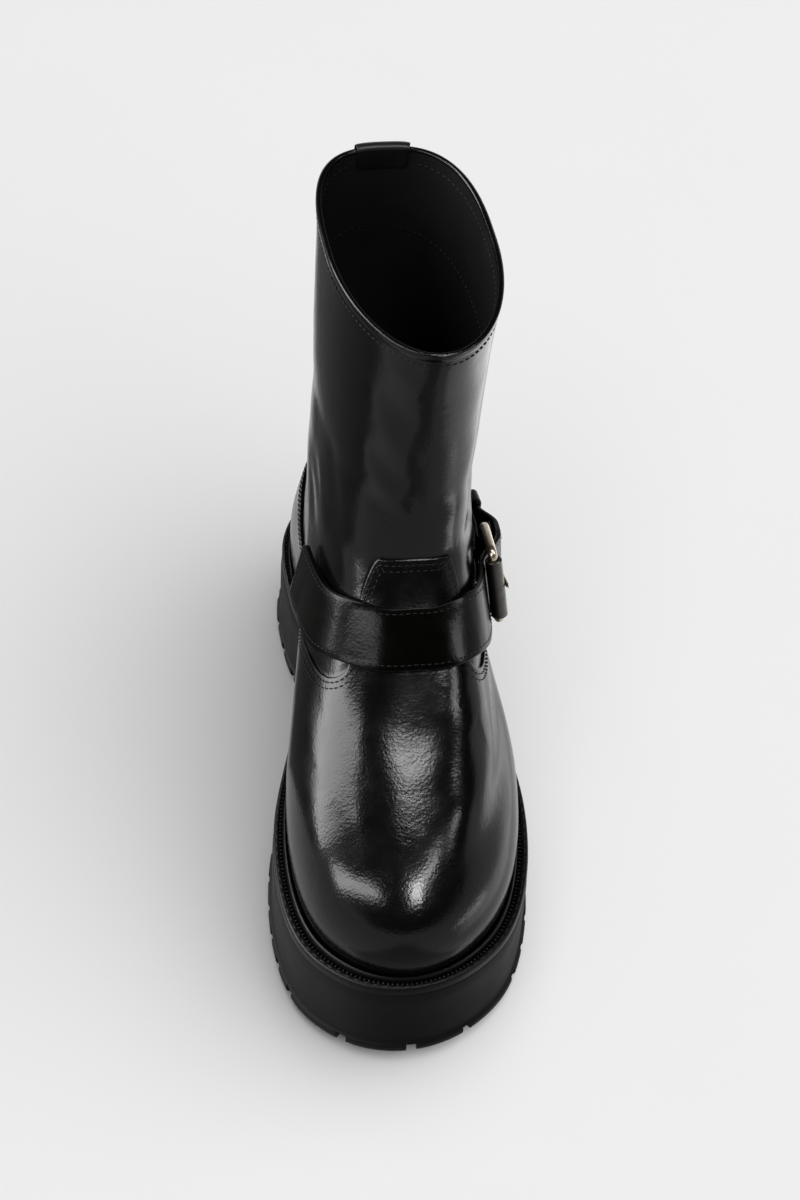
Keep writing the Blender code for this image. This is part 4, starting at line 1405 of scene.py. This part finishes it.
@dataclass
class Outsole:
    """Moulded platform with its arch, heel block, notches and grooves."""

    last: Last
    columns: int = 240
    side_slope: float = 2.3
    welt_thickness: float = 4.0
    notch_width: float = 4.6
    notch_height: float = 5.5
    notch_depth: float = 13.0
    notch_open: float = 4.0
    tread_open: float = 3.0
    groove_width: float = 4.0
    groove_depth: float = 4.0
    groove_margin: float = 7.0
    grooves: tuple[float, ...] = (140.0, 161.0, 205.0, 228.0, 28.0, 52.0)
    edge_round: float = 0.45

    def turns(self) -> Array:
        """Columns of the sole, with columns at both ends of the arch's ramps."""
        last = self.last
        turns = list(np.arange(self.columns) / self.columns)
        for station in (last.heel_breast, last.heel_breast + last.arch_ramp,
                        last.arch_front - last.arch_ramp, last.arch_front):
            turns += [last.edge_turn(station, side) for side in Side]
        return np.array(sorted(turns))

    def boxes(self) -> list[Matrix]:
        """Notches round the edge of the tread and grooves across its middle."""
        last = self.last
        boxes = []
        for row in NOTCHES:
            for station in np.linspace(row.first, row.last, row.count):
                turn = np.array(last.edge_turn(station, row.side))
                edge = last.sole_outline(turn, 0.0)
                inside = last.sole_outline(turn, 1.0)
                outward = np.array([edge[0] - inside[0], inside[1] - edge[1], 0.0])
                top = float(last.tread_height(np.array(station))) + self.notch_height
                middle = np.array([edge[0], last.ball_station - edge[1], 0.0])
                middle += outward * (self.notch_open - self.notch_depth) / 2.0
                middle[2] = (top - self.tread_open) / 2.0
                sizes = (self.notch_depth + self.notch_open, self.notch_width,
                         top + self.tread_open)
                boxes.append(box_matrix(middle, (outward, np.cross(UP, outward), UP), sizes))
        for station in self.grooves:
            top = float(last.tread_height(np.array(station))) + self.groove_depth
            middle = (float(last.axis_x(np.array(station))), last.ball_station - station,
                      (top - self.tread_open) / 2.0)
            angle = math.acos(1.0 - 2.0 * station / last.sole_length)
            half = float(last.edge_width(angle, -1.0)) - self.notch_depth - self.groove_margin
            axes = ((1.0, 0.0, 0.0), (0.0, 1.0, 0.0), UP)
            boxes.append(box_matrix(middle, axes,
                                    (2.0 * half, self.groove_width, top + self.tread_open)))
        return boxes

    def build(self) -> None:
        """Builds the sole and cuts its tread."""
        last = self.last
        turns = self.turns()
        top = self.welt_thickness + GAP
        rings = [last.sole_ring(turns, row.inset, lambda s, r=row.away: last.tread_height(s) + r)
                 for row in TREAD_PROFILE]
        rings += [last.sole_ring(turns, self.side_slope + row.inset,
                                 lambda s, d=row.away: last.bed_height(s) - top - d)
                  for row in CROWN_PROFILE]
        piece = loft("rubber_sole", np.array(rings), Ends.LADDER)
        cut_boxes(piece, self.boxes(), self.edge_round)
        dress(piece, (SOLE_RUBBER,), ("outsole",))


@dataclass
class Welt:
    """Leather welt round the upper: rounded ledge, ribbed stitch groove and raised bead."""

    last: Last
    columns: int = 300
    inset: float = 2.0
    bead_height: float = 2.5
    row_points: int = 900
    rib_spot: Spot = (0.56, -0.5)
    thread_spot: Spot = (0.27, 0.22)

    def ring(self, turns: Array, across: float, height: float) -> Array:
        """Ring of the welt at a share of its width and a height over the foot bed."""
        last = self.last
        touch = last.vamp_step + GAP + FACET
        if across < 1.0:
            edge = last.sole_ring(turns, self.inset, last.bed_height)
            bead = last.point(last.feather_level(self.bead_height), turns, touch)
            ring = edge + (bead - edge) * across
        else:
            ring = last.point(last.feather_level(height), turns, touch)
        ring[:, 2] = last.bed_height(last.ball_station - ring[:, 1]) + height
        return ring

    def build(self) -> None:
        """Builds the welt, sets ribs in its groove and sews its ledge."""
        turns = np.arange(self.columns) / self.columns
        rings = np.array([self.ring(turns, row.across, row.height) for row in WELT_PROFILE])
        piece = loft("leather_welt", rings, Ends.RING, LEATHER_SHARP)
        dress(piece, (WELT_LEATHER,), ("welt",))
        turns = np.linspace(0.0, 1.0, self.row_points)
        ribs = self.ring(turns, *self.rib_spot)
        up = np.broadcast_to(UP, ribs.shape)
        WELT_RIB.sew("welt_ribs", [(ribs, up)], WELT_LEATHER)
        thread = self.ring(turns, *self.thread_spot)
        WELT_STITCH.sew("welt_stitches", [(thread, up)], BLACK_THREAD)


@dataclass
class Insole:
    """Sock-covered board inside the boot, slightly dished under heel and ball."""

    last: Last
    columns: int = 160
    thickness: float = 3.4
    welt_thickness: float = 4.0

    def build(self) -> None:
        """Builds the insole with a rounded edge and a dished top."""
        last = self.last
        turns = np.arange(self.columns) / self.columns
        top = self.thickness - self.welt_thickness
        inside = -(last.wall + GAP + FACET)
        outline = last.point(last.feather_level(top), turns, inside)
        mirror = outline[(-np.arange(self.columns)) % self.columns]
        spine = (outline + mirror) / 2.0
        rings = []
        for row in SOCK_PROFILE:
            ring = spine + (outline - spine) * row.share
            ring[:, 2] = last.bed_height(last.ball_station - ring[:, 1]) + top - row.depth
            rings.append(ring)
        piece = loft("insole_sock", np.array(rings), Ends.LADDER)
        dress(piece, (SOCK_LEATHER,), ("insole",))


@dataclass
class PullTab:
    """Leather tab folded over the back of the collar and sewn down on both sides."""

    last: Last
    half_turn: float = 0.028
    outer_drop: float = 0.75
    inner_drop: float = 0.28
    leather: float = 1.0
    edge_round: float = 0.35
    outer_lift: float = 0.8
    inner_lift: float = -2.1
    crown_lift: float = 0.4
    leg_rows: int = 18
    crown_rows: int = 11
    stitch_inset: float = 0.009
    stitch_foot: float = 0.09
    stitch_top: float = 0.02
    thread_lift: float = 0.04
    leg_points: int = 60
    foot_points: int = 40

    def face(self, turn: Array, lift: float) -> Array:
        """Rows of one face of the tab from its outer foot over the collar to its inner foot.

        Args:
            turn: Turns across the tab.
            lift: Distance from the tab's near face.

        Returns:
            Points, row by row.
        """
        middle = (self.outer_lift + self.inner_lift) / 2.0
        half = (self.outer_lift - self.inner_lift) / 2.0 + lift
        rows = [self.last.point(level, turn, middle + half)
                for level in np.linspace(COLLAR - self.outer_drop, COLLAR, self.leg_rows)]
        for angle in np.radians(np.linspace(0.0, 180.0, self.crown_rows + 2))[1:-1]:
            over = self.last.point(COLLAR, turn, middle + half * math.cos(angle))
            rows.append(over + UP * (GAP + (self.crown_lift + lift) * math.sin(angle)))
        rows += [self.last.point(level, turn, middle - half)
                 for level in np.linspace(COLLAR, COLLAR - self.inner_drop, self.leg_rows)]
        return np.array(rows)

    def build(self) -> None:
        """Builds the tab and its stitches."""
        profile = rounded_bar(2.0, self.leather, self.edge_round)
        edge = profile[:, 0] * self.half_turn
        near = self.face(edge, 0.0)
        far = self.face(edge, self.leather)
        share = (profile[:, 1] / self.leather + 0.5)[None, :, None]
        piece = loft("pull_tab_leather", near + (far - near) * share, Ends.CAP, LEATHER_SHARP)
        dress(piece, (TAB_LEATHER,), ("pull_tab",))
        lift = self.outer_lift + self.leather + self.thread_lift
        inset = self.half_turn - self.stitch_inset
        climb = np.linspace(COLLAR - self.outer_drop + self.stitch_foot, COLLAR - self.stitch_top,
                            self.leg_points)
        rows = []
        for turn in (-inset, inset):
            side = np.full_like(climb, turn)
            rows.append((self.last.point(climb, side, lift), self.last.normal(climb, side)))
        across = np.linspace(-inset, inset, self.foot_points)
        low = np.full_like(across, climb[0])
        rows.append((self.last.point(low, across, lift), self.last.normal(low, across)))
        SMALL_STITCH.sew("pull_tab_stitches", rows, BLACK_THREAD)


@dataclass
class StrapSet:
    """Instep strap, buckle chape and keeper loop on the strap's seat."""

    bench: StrapBench
    inner_end: float = -0.25
    width: float = 25.0
    leather: float = 2.4
    lift_ease: float = 1.2
    edge_round: float = 0.55
    edge_share: float = 0.38
    tail: float = 50.0
    row_step: float = 1.1
    inner_round: float = 3.0
    end_round: float = 5.0
    stitch_inset: float = 2.3
    thread_lift: float = 0.03
    side_points: int = 700
    end_points: int = 60
    prong_slot: tuple[float, float, float, float] = (1.0, 11.5, 3.4, 16.0)
    holes: tuple[float, ...] = (21.0,)
    hole_size: float = 2.8
    hole_cut: float = 40.0
    chape_leather: float = 1.4
    chape_width: float = 24.0
    chape_length: float = 56.0
    chape_step: float = 1.4
    chape_round: float = 4.0
    chape_slot: tuple[float, float, float, float] = (5.0, 17.5, 4.6, 30.0)
    chape_inset: float = 2.0
    fold_angles: Spot = (-100.0, -270.0)
    fold_rows: int = 26
    fold_length: float = 9.0
    fold_shares: tuple[float, float, int] = (0.12, 1.0, 8)
    back_bar: float = 11.0
    rod_radius: float = 1.9
    keeper_place: float = 37.0
    keeper_width: float = 8.0
    keeper_leather: float = 1.4
    keeper_play: float = 0.2
    keeper_corner: float = 1.8
    keeper_round: float = 0.4
    keeper_rows: tuple[int, int, int] = (6, 7, 9)

    def lift(self, place: Array) -> Array:
        """Height of the strap's underside over its seat."""
        return eased_line(TAIL_LIFT, np.asarray(place, float), self.lift_ease)

    def band(self, name: str, path: Array, width: float, leather: float,
             ends: tuple[float, float]) -> bpy.types.Object:
        """Flat band with rounded edges along a path over the seat.

        Args:
            name: Name of the piece.
            path: Place and lift of the band's middle, row by row.
            width: Width of the band.
            leather: Thickness of the band.
            ends: Radius of the corners at its first and last end.

        Returns:
            The new object.
        """
        side = beside(path)
        round_ = min(self.edge_round, leather * self.edge_share)
        profile = rounded_bar(width, leather, round_)
        length = run_of(path)
        trim = np.zeros(len(path))
        for radius, away in zip(ends, (length, length[-1] - length)):
            if radius:
                into = np.clip(radius - away, 0.0, radius)
                trim = np.maximum(trim, radius - np.sqrt(radius ** 2 - into ** 2))
        across = profile[None, :, 0] * (1.0 - 2.0 * trim[:, None] / width)
        through = profile[None, :, 1]
        rings = self.bench.point(path[:, :1] + side[:, :1] * through, across,
                                 path[:, 1:] + side[:, 1:] * through)
        return loft(name, rings, Ends.CAP, LEATHER_SHARP)

    def end_rows(self, start: float, end: float, step: float) -> Array:
        """Places along a band, close together at its ends."""
        near = np.array(END_ROWS)
        middle = np.linspace(start + END_RUN, end - END_RUN, max(int((end - start) / step), 2))
        return np.concatenate([start + near, middle, (end - near)[::-1]])

    def build(self) -> None:
        """Builds strap, chape and keeper and sews them."""
        self.build_strap()
        self.build_chape()
        self.build_keeper()

    def build_strap(self) -> None:
        """Strap from its sewn inner end, under the roller, to its free tail."""
        start = self.bench.place_of(self.inner_end)
        places = self.end_rows(start, self.tail, self.row_step)
        path = np.stack([places, self.lift(places) + self.leather / 2.0], axis=-1)
        piece = self.band(STRAP_PIECE, path, self.width, self.leather,
                          (self.inner_round, self.end_round))
        around = self.hole_size / 2.0
        boxes = [self.slot(*self.prong_slot)]
        boxes += [self.slot(hole - around, hole + around, self.hole_size, self.hole_cut)
                  for hole in self.holes]
        cut_boxes(piece, boxes, 0.0)
        dress(piece, (STRAP_LEATHER,), ("instep_strap",))
        half = self.width / 2.0 - self.stitch_inset
        run = np.linspace(start + self.stitch_inset, self.tail - self.stitch_inset,
                          self.side_points)
        rows = [self.row(run, np.full_like(run, side * half), self.leather) for side in (-1.0, 1.0)]
        across = np.linspace(-half, half, self.end_points)
        rows += [self.row(np.full_like(across, end), across, self.leather)
                 for end in (run[0], run[-1])]
        STRAP_STITCH.sew("strap_stitches", rows, BLACK_THREAD)

    def row(self, place: Array, across: Array, leather: float,
            raised: bool = True) -> tuple[Array, Array]:
        """Row of stitches on a band's outer face.

        Args:
            place: Places along the strap.
            across: Distances across it.
            leather: Thickness of the band.
            raised: Whether the band rises from its seat as the strap does.

        Returns:
            Points and outward directions.
        """
        under = self.lift(place) if raised else 0.0
        lift = under + leather + self.thread_lift
        return self.bench.point(place, across, lift), self.bench.seat(place)[3]

    def slot(self, start: float, end: float, width: float, height: float) -> Matrix:
        """Box through a band for the prong."""
        origin, along, _, outward = self.bench.seat(np.array((start + end) / 2.0))
        axes = (along, outward, np.cross(along, outward))
        return box_matrix(origin + outward * height / 4.0, axes, (end - start, height, width))

    def build_chape(self) -> None:
        """Short strap that folds round the buckle's back bar."""
        bend = self.rod_radius + GAP + self.chape_leather / 2.0
        middle = self.chape_leather + GAP + self.rod_radius
        straight = self.end_rows(self.back_bar, self.chape_length, self.chape_step)[::-1]
        path = [(place, self.chape_leather / 2.0) for place in straight]
        path += arc((self.back_bar, middle), bend, self.fold_angles, self.fold_rows)
        path += [(self.back_bar + self.fold_length * share, middle + bend)
                 for share in np.linspace(*self.fold_shares)]
        piece = self.band("buckle_chape_leather", np.array(path), self.chape_width,
                          self.chape_leather, (self.chape_round, 0.0))
        cut_boxes(piece, [self.slot(*self.chape_slot)], 0.0)
        dress(piece, (STRAP_LEATHER,), ("buckle_chape",))
        half = self.chape_width / 2.0 - self.chape_inset
        across = np.linspace(-half, half, self.end_points)
        place = np.full_like(across, self.chape_length - self.chape_inset)
        rows = [self.row(place, across, self.chape_leather, raised=False)]
        SMALL_STITCH.sew("chape_stitches", rows, BLACK_THREAD)

    def build_keeper(self) -> None:
        """Loop that holds the strap's tail down on the chape."""
        first = self.keeper_place - self.keeper_width / 2.0
        half = self.width / 2.0 + GAP + self.keeper_play + self.keeper_leather / 2.0
        roof = float(np.interp(first, *zip(*TAIL_LIFT))) + self.leather + GAP
        roof += self.keeper_leather / 2.0
        corner = self.keeper_corner
        leg_rows, corner_rows, roof_rows = self.keeper_rows
        path = [(-half, lift) for lift in np.linspace(self.keeper_play, roof - corner, leg_rows)]
        path += arc((corner - half, roof - corner), corner, (180.0, 90.0), corner_rows)[1:]
        path += [(across, roof) for across in np.linspace(corner - half, 0.0, roof_rows)[1:]]
        path = np.array(path + [(-across, lift) for across, lift in path[-2::-1]])
        side = beside(path)
        profile = rounded_bar(self.keeper_width, self.keeper_leather, self.keeper_round)
        across = path[:, :1] + side[:, :1] * profile[None, :, 1]
        lift = path[:, 1:] + side[:, 1:] * profile[None, :, 1]
        rings = self.bench.point(self.keeper_place + profile[None, :, 0], across, lift)
        piece = loft("keeper_loop_leather", rings, Ends.CAP, LEATHER_SHARP)
        dress(piece, (STRAP_LEATHER,), ("keeper_loop",))


@dataclass
class Buckle:
    """Antique roller buckle: bent rod frame, roller on its front bar, prong on its back bar."""

    bench: StrapBench
    rod_radius: float = 1.9
    half_height: float = 17.1
    corner: float = 3.6
    corner_rows: int = 9
    frame_sides: int = 24
    front_bar: float = -11.5
    back_bar: float = 11.0
    strap_leather: float = 2.4
    chape_leather: float = 1.4
    roller_radius: float = 3.5
    roller_half: float = 14.2
    roller_chamfer: float = 0.45
    roller_sides: int = 40
    roller_sharp: float = 30.0
    prong_radius: float = 1.0
    prong_wrap: Spot = (-50.0, 80.0)
    prong_start: float = 0.1
    prong_rows: int = 16
    prong_sides: int = 16
    prong_taper: tuple[float, ...] = (0.95, 0.8, 0.45)

    @property
    def back_lift(self) -> float:
        """Height of the back bar over the strap's seat."""
        return self.chape_leather + GAP + self.rod_radius

    @property
    def front_lift(self) -> float:
        """Height of the front bar over the strap's seat."""
        return self.strap_leather + GAP + self.roller_radius

    def build(self) -> None:
        """Builds frame, roller and prong."""
        self.build_frame()
        self.build_roller()
        self.build_prong()

    def build_frame(self) -> None:
        """Round rod bent to a frame with small corners."""
        spots = ((self.front_bar, self.front_lift, 1.0), (self.back_bar, self.back_lift, 1.0),
                 (self.back_bar, self.back_lift, -1.0), (self.front_bar, self.front_lift, -1.0))
        corners = [self.bench.point(place, side * self.half_height, lift)
                   for place, lift, side in spots]
        path = []
        for i, corner in enumerate(corners):
            start = corner + unit(corners[i - 1] - corner) * self.corner
            end = corner + unit(corners[(i + 1) % 4] - corner) * self.corner
            for t in np.linspace(0.0, 1.0, self.corner_rows):
                path.append(start * (1 - t) ** 2 + corner * 2 * t * (1 - t) + end * t ** 2)
        outward = self.bench.seat(np.array(0.0))[3]
        piece = tube("buckle_frame_rod", np.array(path), self.rod_radius, outward, True,
                     self.frame_sides)
        dress(piece, (FRAME_NICKEL,), ("buckle_frame",))

    def build_roller(self) -> None:
        """Tube with chamfered ends on the front bar."""
        bore = self.rod_radius + GAP
        chamfer = self.roller_chamfer
        half = self.roller_half
        profile = ((bore, half), (self.roller_radius - chamfer, half),
                   (self.roller_radius, half - chamfer), (self.roller_radius, chamfer - half),
                   (self.roller_radius - chamfer, -half), (bore, -half))
        _, along, across, _ = self.bench.seat(np.array(self.front_bar))
        centre = self.bench.point(self.front_bar, 0.0, self.front_lift)
        angle = np.linspace(0.0, 2.0 * math.pi, self.roller_sides, endpoint=False)[:, None]
        ring = along * np.cos(angle) + np.cross(across, along) * np.sin(angle)
        rings = np.array([centre + ring * radius + across * height for radius, height in profile])
        piece = loft("buckle_roller_tube", rings, Ends.RING, self.roller_sharp)
        dress(piece, (ROLLER_NICKEL,), ("buckle_roller",))

    def build_prong(self) -> None:
        """Wire hooked on the back bar, its tapered tip on the roller."""
        bend = self.rod_radius + GAP + self.prong_radius
        path = arc((self.back_bar, self.back_lift), bend, self.prong_wrap, self.prong_rows)
        tip = (self.front_bar - self.prong_radius,
               self.front_lift + self.roller_radius + GAP + self.prong_radius)
        root = path[-1]
        path += [(root[0] + (tip[0] - root[0]) * t, root[1] + (tip[1] - root[1]) * t)
                 for t in np.linspace(self.prong_start, 1.0, self.prong_rows)]
        spots = np.array(path)
        points = self.bench.point(spots[:, 0], 0.0, spots[:, 1])
        radius = np.full(len(points), self.prong_radius)
        radius[-len(self.prong_taper):] *= self.prong_taper
        sideways = self.bench.seat(np.array(0.0))[2]
        piece = tube("buckle_prong_wire", points, radius, sideways, False, self.prong_sides)
        dress(piece, (FRAME_NICKEL,), ("buckle_prong",))


class Lit(Enum):
    """What a light falls on: FOOT is the boot without its strap, TRIM without its upper."""

    BOOT = "boot"
    FOOT = "foot"
    TRIM = "trim"
    VAMP = "vamp"
    STRAP = "strap"
    PAPER = "paper"


class SoftBox(NamedTuple):
    """A studio light: what it lights, bearing from the toe, height, distance, size, roll, power."""

    name: str
    lit: Lit
    bearing: float
    elevation: float
    distance: float
    width: float
    height: float
    roll: float
    power: float


class ShadeCard(NamedTuple):
    """Grey card on the floor that is seen only in the boot's gloss: painted shade in the mirrored
    floor.
    """

    name: str
    low: tuple[float, float]
    high: tuple[float, float]
    finish: Finish


class Bounce(NamedTuple):
    """Bright spot of the table beside the boot: what it lights, place, size, power."""

    name: str
    lit: Lit
    place: tuple[float, float]
    size: tuple[float, float]
    power: float


SOFT_BOXES = (
    SoftBox("soft_box_inner", Lit.BOOT, -112.0, 30.0, 3.2, 1.35, 3.5, 0.0, 200.0),
    SoftBox("soft_box_toe_inner", Lit.FOOT, -67.0, 33.0, 3.0, 0.65, 3.2, 42.0, 104.0),
    SoftBox("soft_box_toe", Lit.VAMP, 17.0, 54.0, 3.0, 0.45, 0.75, 0.0, 54.0),
    SoftBox("soft_box_arc", Lit.VAMP, 40.0, 58.0, 3.0, 0.9, 0.45, 0.0, 24.0),
    SoftBox("soft_box_curve", Lit.VAMP, 78.0, 46.0, 3.0, 0.55, 0.5, 0.0, 11.0),
    SoftBox("soft_box_outer", Lit.TRIM, 87.0, 51.0, 3.2, 0.5, 1.6, 0.0, 38.0),
    SoftBox("soft_box_strap", Lit.STRAP, 76.0, 29.0, 3.0, 0.8, 1.0, 0.0, 26.0),
    SoftBox("soft_box_strap_inner", Lit.STRAP, -67.0, 33.0, 3.0, 0.3, 3.2, 42.0, 46.0),
    SoftBox("soft_box_top", Lit.BOOT, 131.0, 82.5, 3.0, 0.5, 0.8, 0.0, 37.0),
    SoftBox("soft_box_paper", Lit.PAPER, 72.0, 70.0, 8.0, 15.0, 15.0, 0.0, 1280.0),
)

BOUNCES = (
    Bounce("bounce_outer", Lit.BOOT, (0.25, 0.12), (0.22, 0.6), 0.5),
    Bounce("bounce_front", Lit.VAMP, (0.41, -0.22), (0.2, 0.24), 0.9),
)

# Painted shade in the boot's reflections: a dark card beside the inner side, a grey one in front of
# the toe
SHADE_CARDS = (
    ShadeCard("card_inner", (-0.6, 0.06), (-0.07, 0.6), INNER_SHADE_CARD),
    ShadeCard("card_front", (-0.09, -0.8), (0.06, -0.1), FRONT_SHADE_CARD),
)


@dataclass
class Studio:
    """Pale paper floor, soft boxes, dim room and the camera."""

    aim: tuple[float, float, float] = (0.0, 0.0, 0.1)
    camera_at: tuple[float, float, float] = (-0.11293, -0.65218, 0.98025)
    photo_bearing: float = -4.4
    photo_elevation: float = 51.0
    photo_focal: float = 2200.0
    photo_centre: tuple[float, float] = (400.0, 600.0)
    boot_centre: tuple[float, float] = (517.0, 584.0)
    closer: float = 1.25
    frame_height: float = 1200.0
    sensor: float = 36.0
    near: float = 0.01
    floor_half: float = 6.0
    roll_radius: float = 1.0
    roll_angles: tuple[float, float, int] = (6.0, 60.0, 10)
    wall: str = "#EDEDED"
    ceiling: str = "#2E2E2E"
    wall_top: float = 0.16
    wall_end: float = 0.34
    card_height: float = 0.0015
    bounce_height: float = 0.004

    def build(self) -> None:
        """Sets up floor, room light, soft boxes and camera."""
        boot = [piece for piece in bpy.context.scene.objects if piece.type == "MESH"]
        upper, strap = bpy.data.objects[UPPER_PIECE], bpy.data.objects[STRAP_PIECE]
        members = {
            Lit.BOOT: boot,
            Lit.FOOT: [piece for piece in boot if piece != strap],
            Lit.TRIM: [piece for piece in boot if piece != upper],
            Lit.VAMP: [upper],
            Lit.STRAP: [strap],
            Lit.PAPER: [self.build_floor(), *(self.build_shade_card(card) for card in SHADE_CARDS)],
        }
        lit = {what: bpy.data.collections.new(what.value) for what in Lit}
        for what, pieces in members.items():
            for piece in pieces:
                lit[what].objects.link(piece)
        self.build_room()
        for box in SOFT_BOXES:
            self.build_soft_box(box, lit[box.lit])
        for bounce in BOUNCES:
            self.build_bounce(bounce, lit[bounce.lit])
        self.build_camera()

    def build_floor(self) -> bpy.types.Object:
        """Paper floor, rolled up a little at its far edge."""
        half, radius = self.floor_half, self.roll_radius
        rows = [(-half, 0.0), (half - radius, 0.0)]
        rows += [(half - radius + radius * math.sin(a), radius - radius * math.cos(a))
                 for a in np.radians(np.linspace(*self.roll_angles))]
        points = [(x, y, z) for y, z in rows for x in (-half, half)]
        faces = [(2 * i, 2 * i + 1, 2 * i + 3, 2 * i + 2) for i in range(len(rows) - 1)]
        mesh = bpy.data.meshes.new("paper_floor")
        mesh.from_pydata(points, [], faces)
        mesh.shade_smooth()
        mesh.materials.append(STUDIO_PAPER.material())
        floor = bpy.data.objects.new("paper_floor", mesh)
        bpy.context.scene.collection.objects.link(floor)
        return floor

    def build_room(self) -> None:
        """Pale walls that fade into a dark ceiling."""
        world = bpy.data.worlds.new("studio_room")
        world.use_nodes = True
        tree = world.node_tree
        where = add_node(tree, "ShaderNodeTexCoord").outputs["Generated"]
        height = add_node(tree, "ShaderNodeSeparateXYZ", {"Vector": where}).outputs["Z"]
        share = add_node(tree, "ShaderNodeMapRange",
                         {"Value": height, "From Min": self.wall_top, "From Max": self.wall_end},
                         interpolation_type="SMOOTHSTEP")
        room = mix_colours(tree, share.outputs["Result"], self.wall, self.ceiling)
        tree.links.new(room, tree.nodes["Background"].inputs["Color"])
        bpy.context.scene.world = world
        bpy.context.scene.view_settings.view_transform = "Standard"

    def area_light(self, name: str, size: Spot, power: float,
                   lit: bpy.types.Collection) -> bpy.types.Object:
        """Area light that the camera doesn't see.

        Args:
            name: Its name.
            size: Its two sides.
            power: Its power.
            lit: The objects that it lights.

        Returns:
            The light, not yet placed.
        """
        light = bpy.data.lights.new(name, "AREA")
        light.shape = "RECTANGLE"
        light.size, light.size_y = size
        light.energy = power
        lamp = bpy.data.objects.new(name, light)
        lamp.visible_camera = False
        lamp.light_linking.receiver_collection = lit
        bpy.context.scene.collection.objects.link(lamp)
        return lamp

    def build_soft_box(self, box: SoftBox, lit: bpy.types.Collection) -> None:
        """One soft box turned to the boot.

        Args:
            box: Where it stands, its size and its power.
            lit: The objects that it lights.
        """
        lamp = self.area_light(box.name, (box.width, box.height), box.power, lit)
        bearing, elevation = math.radians(box.bearing), math.radians(box.elevation)
        away = Vector((math.sin(bearing) * math.cos(elevation),
                       -math.cos(bearing) * math.cos(elevation), math.sin(elevation)))
        lamp.location = Vector(self.aim) + away * box.distance
        roll = Quaternion((0.0, 0.0, 1.0), -math.radians(box.roll))
        lamp.rotation_euler = (away.to_track_quat("Z", "Y") @ roll).to_euler()

    def build_shade_card(self, card: ShadeCard) -> bpy.types.Object:
        """Grey card on the floor, seen only in the boot's gloss as painted shade.

        Args:
            card: Its name, corners and finish.

        Returns:
            The card.
        """
        low, high = card.low, card.high
        corners = [low, (high[0], low[1]), high, (low[0], high[1])]
        mesh = bpy.data.meshes.new(card.name)
        mesh.from_pydata([(*corner, self.card_height) for corner in corners], [], [(0, 1, 2, 3)])
        mesh.materials.append(card.finish.material())
        piece = bpy.data.objects.new(card.name, mesh)
        bpy.context.scene.collection.objects.link(piece)
        # Only gloss rays see the card, so it paints shade into the boot's reflections alone
        piece.visible_camera = False
        piece.visible_diffuse = False
        piece.visible_shadow = False
        piece.visible_transmission = False
        return piece

    def build_bounce(self, bounce: Bounce, lit: bpy.types.Collection) -> None:
        """Bright table beside the boot's outer side, mirrored in the shaft.

        Args:
            bounce: Its place, size and power.
            lit: The objects that it lights.
        """
        lamp = self.area_light(bounce.name, bounce.size, bounce.power, lit)
        lamp.location = (*bounce.place, self.bounce_height)
        lamp.rotation_euler = (math.pi, 0.0, 0.0)

    def build_camera(self) -> None:
        """Camera where the photograph was taken, turned to the one boot, with its lean and closer."""
        bearing, elevation = math.radians(self.photo_bearing), math.radians(self.photo_elevation)
        right = Vector((math.cos(bearing), math.sin(bearing), 0.0))
        level = Vector((-math.sin(bearing), math.cos(bearing), 0.0))
        ahead = level * math.cos(elevation) - Vector((0.0, 0.0, math.sin(elevation)))
        up = right.cross(ahead)
        shift = [(at - centre) / self.photo_focal
                 for at, centre in zip(self.boot_centre, self.photo_centre)]
        sight = (ahead + right * shift[0] - up * shift[1]).normalized()
        data = bpy.data.cameras.new("photo_camera")
        data.sensor_width = self.sensor
        data.lens = self.sensor * self.photo_focal * self.closer / self.frame_height
        data.clip_start = self.near
        camera = bpy.data.objects.new("photo_camera", data)
        camera.location = self.camera_at
        side = sight.cross(up).normalized()
        axes = Matrix((side, side.cross(sight), -sight)).transposed()
        camera.rotation_euler = axes.to_euler()
        bpy.context.scene.collection.objects.link(camera)
        bpy.context.scene.camera = camera


def main() -> None:
    """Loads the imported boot, builds every sub-assembly and the studio."""
    logging.basicConfig(level=logging.INFO, format="%(name)s: %(message)s")
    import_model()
    last = Last()
    bench = StrapBench(last)
    for part in (Outsole(last), Welt(last), Insole(last), Upper(last), PullTab(last),
                 StrapSet(bench), Buckle(bench)):
        part.build()
        LOG.info("%s done", type(part).__name__)
    Studio().build()


if __name__ == "__main__":
    main()
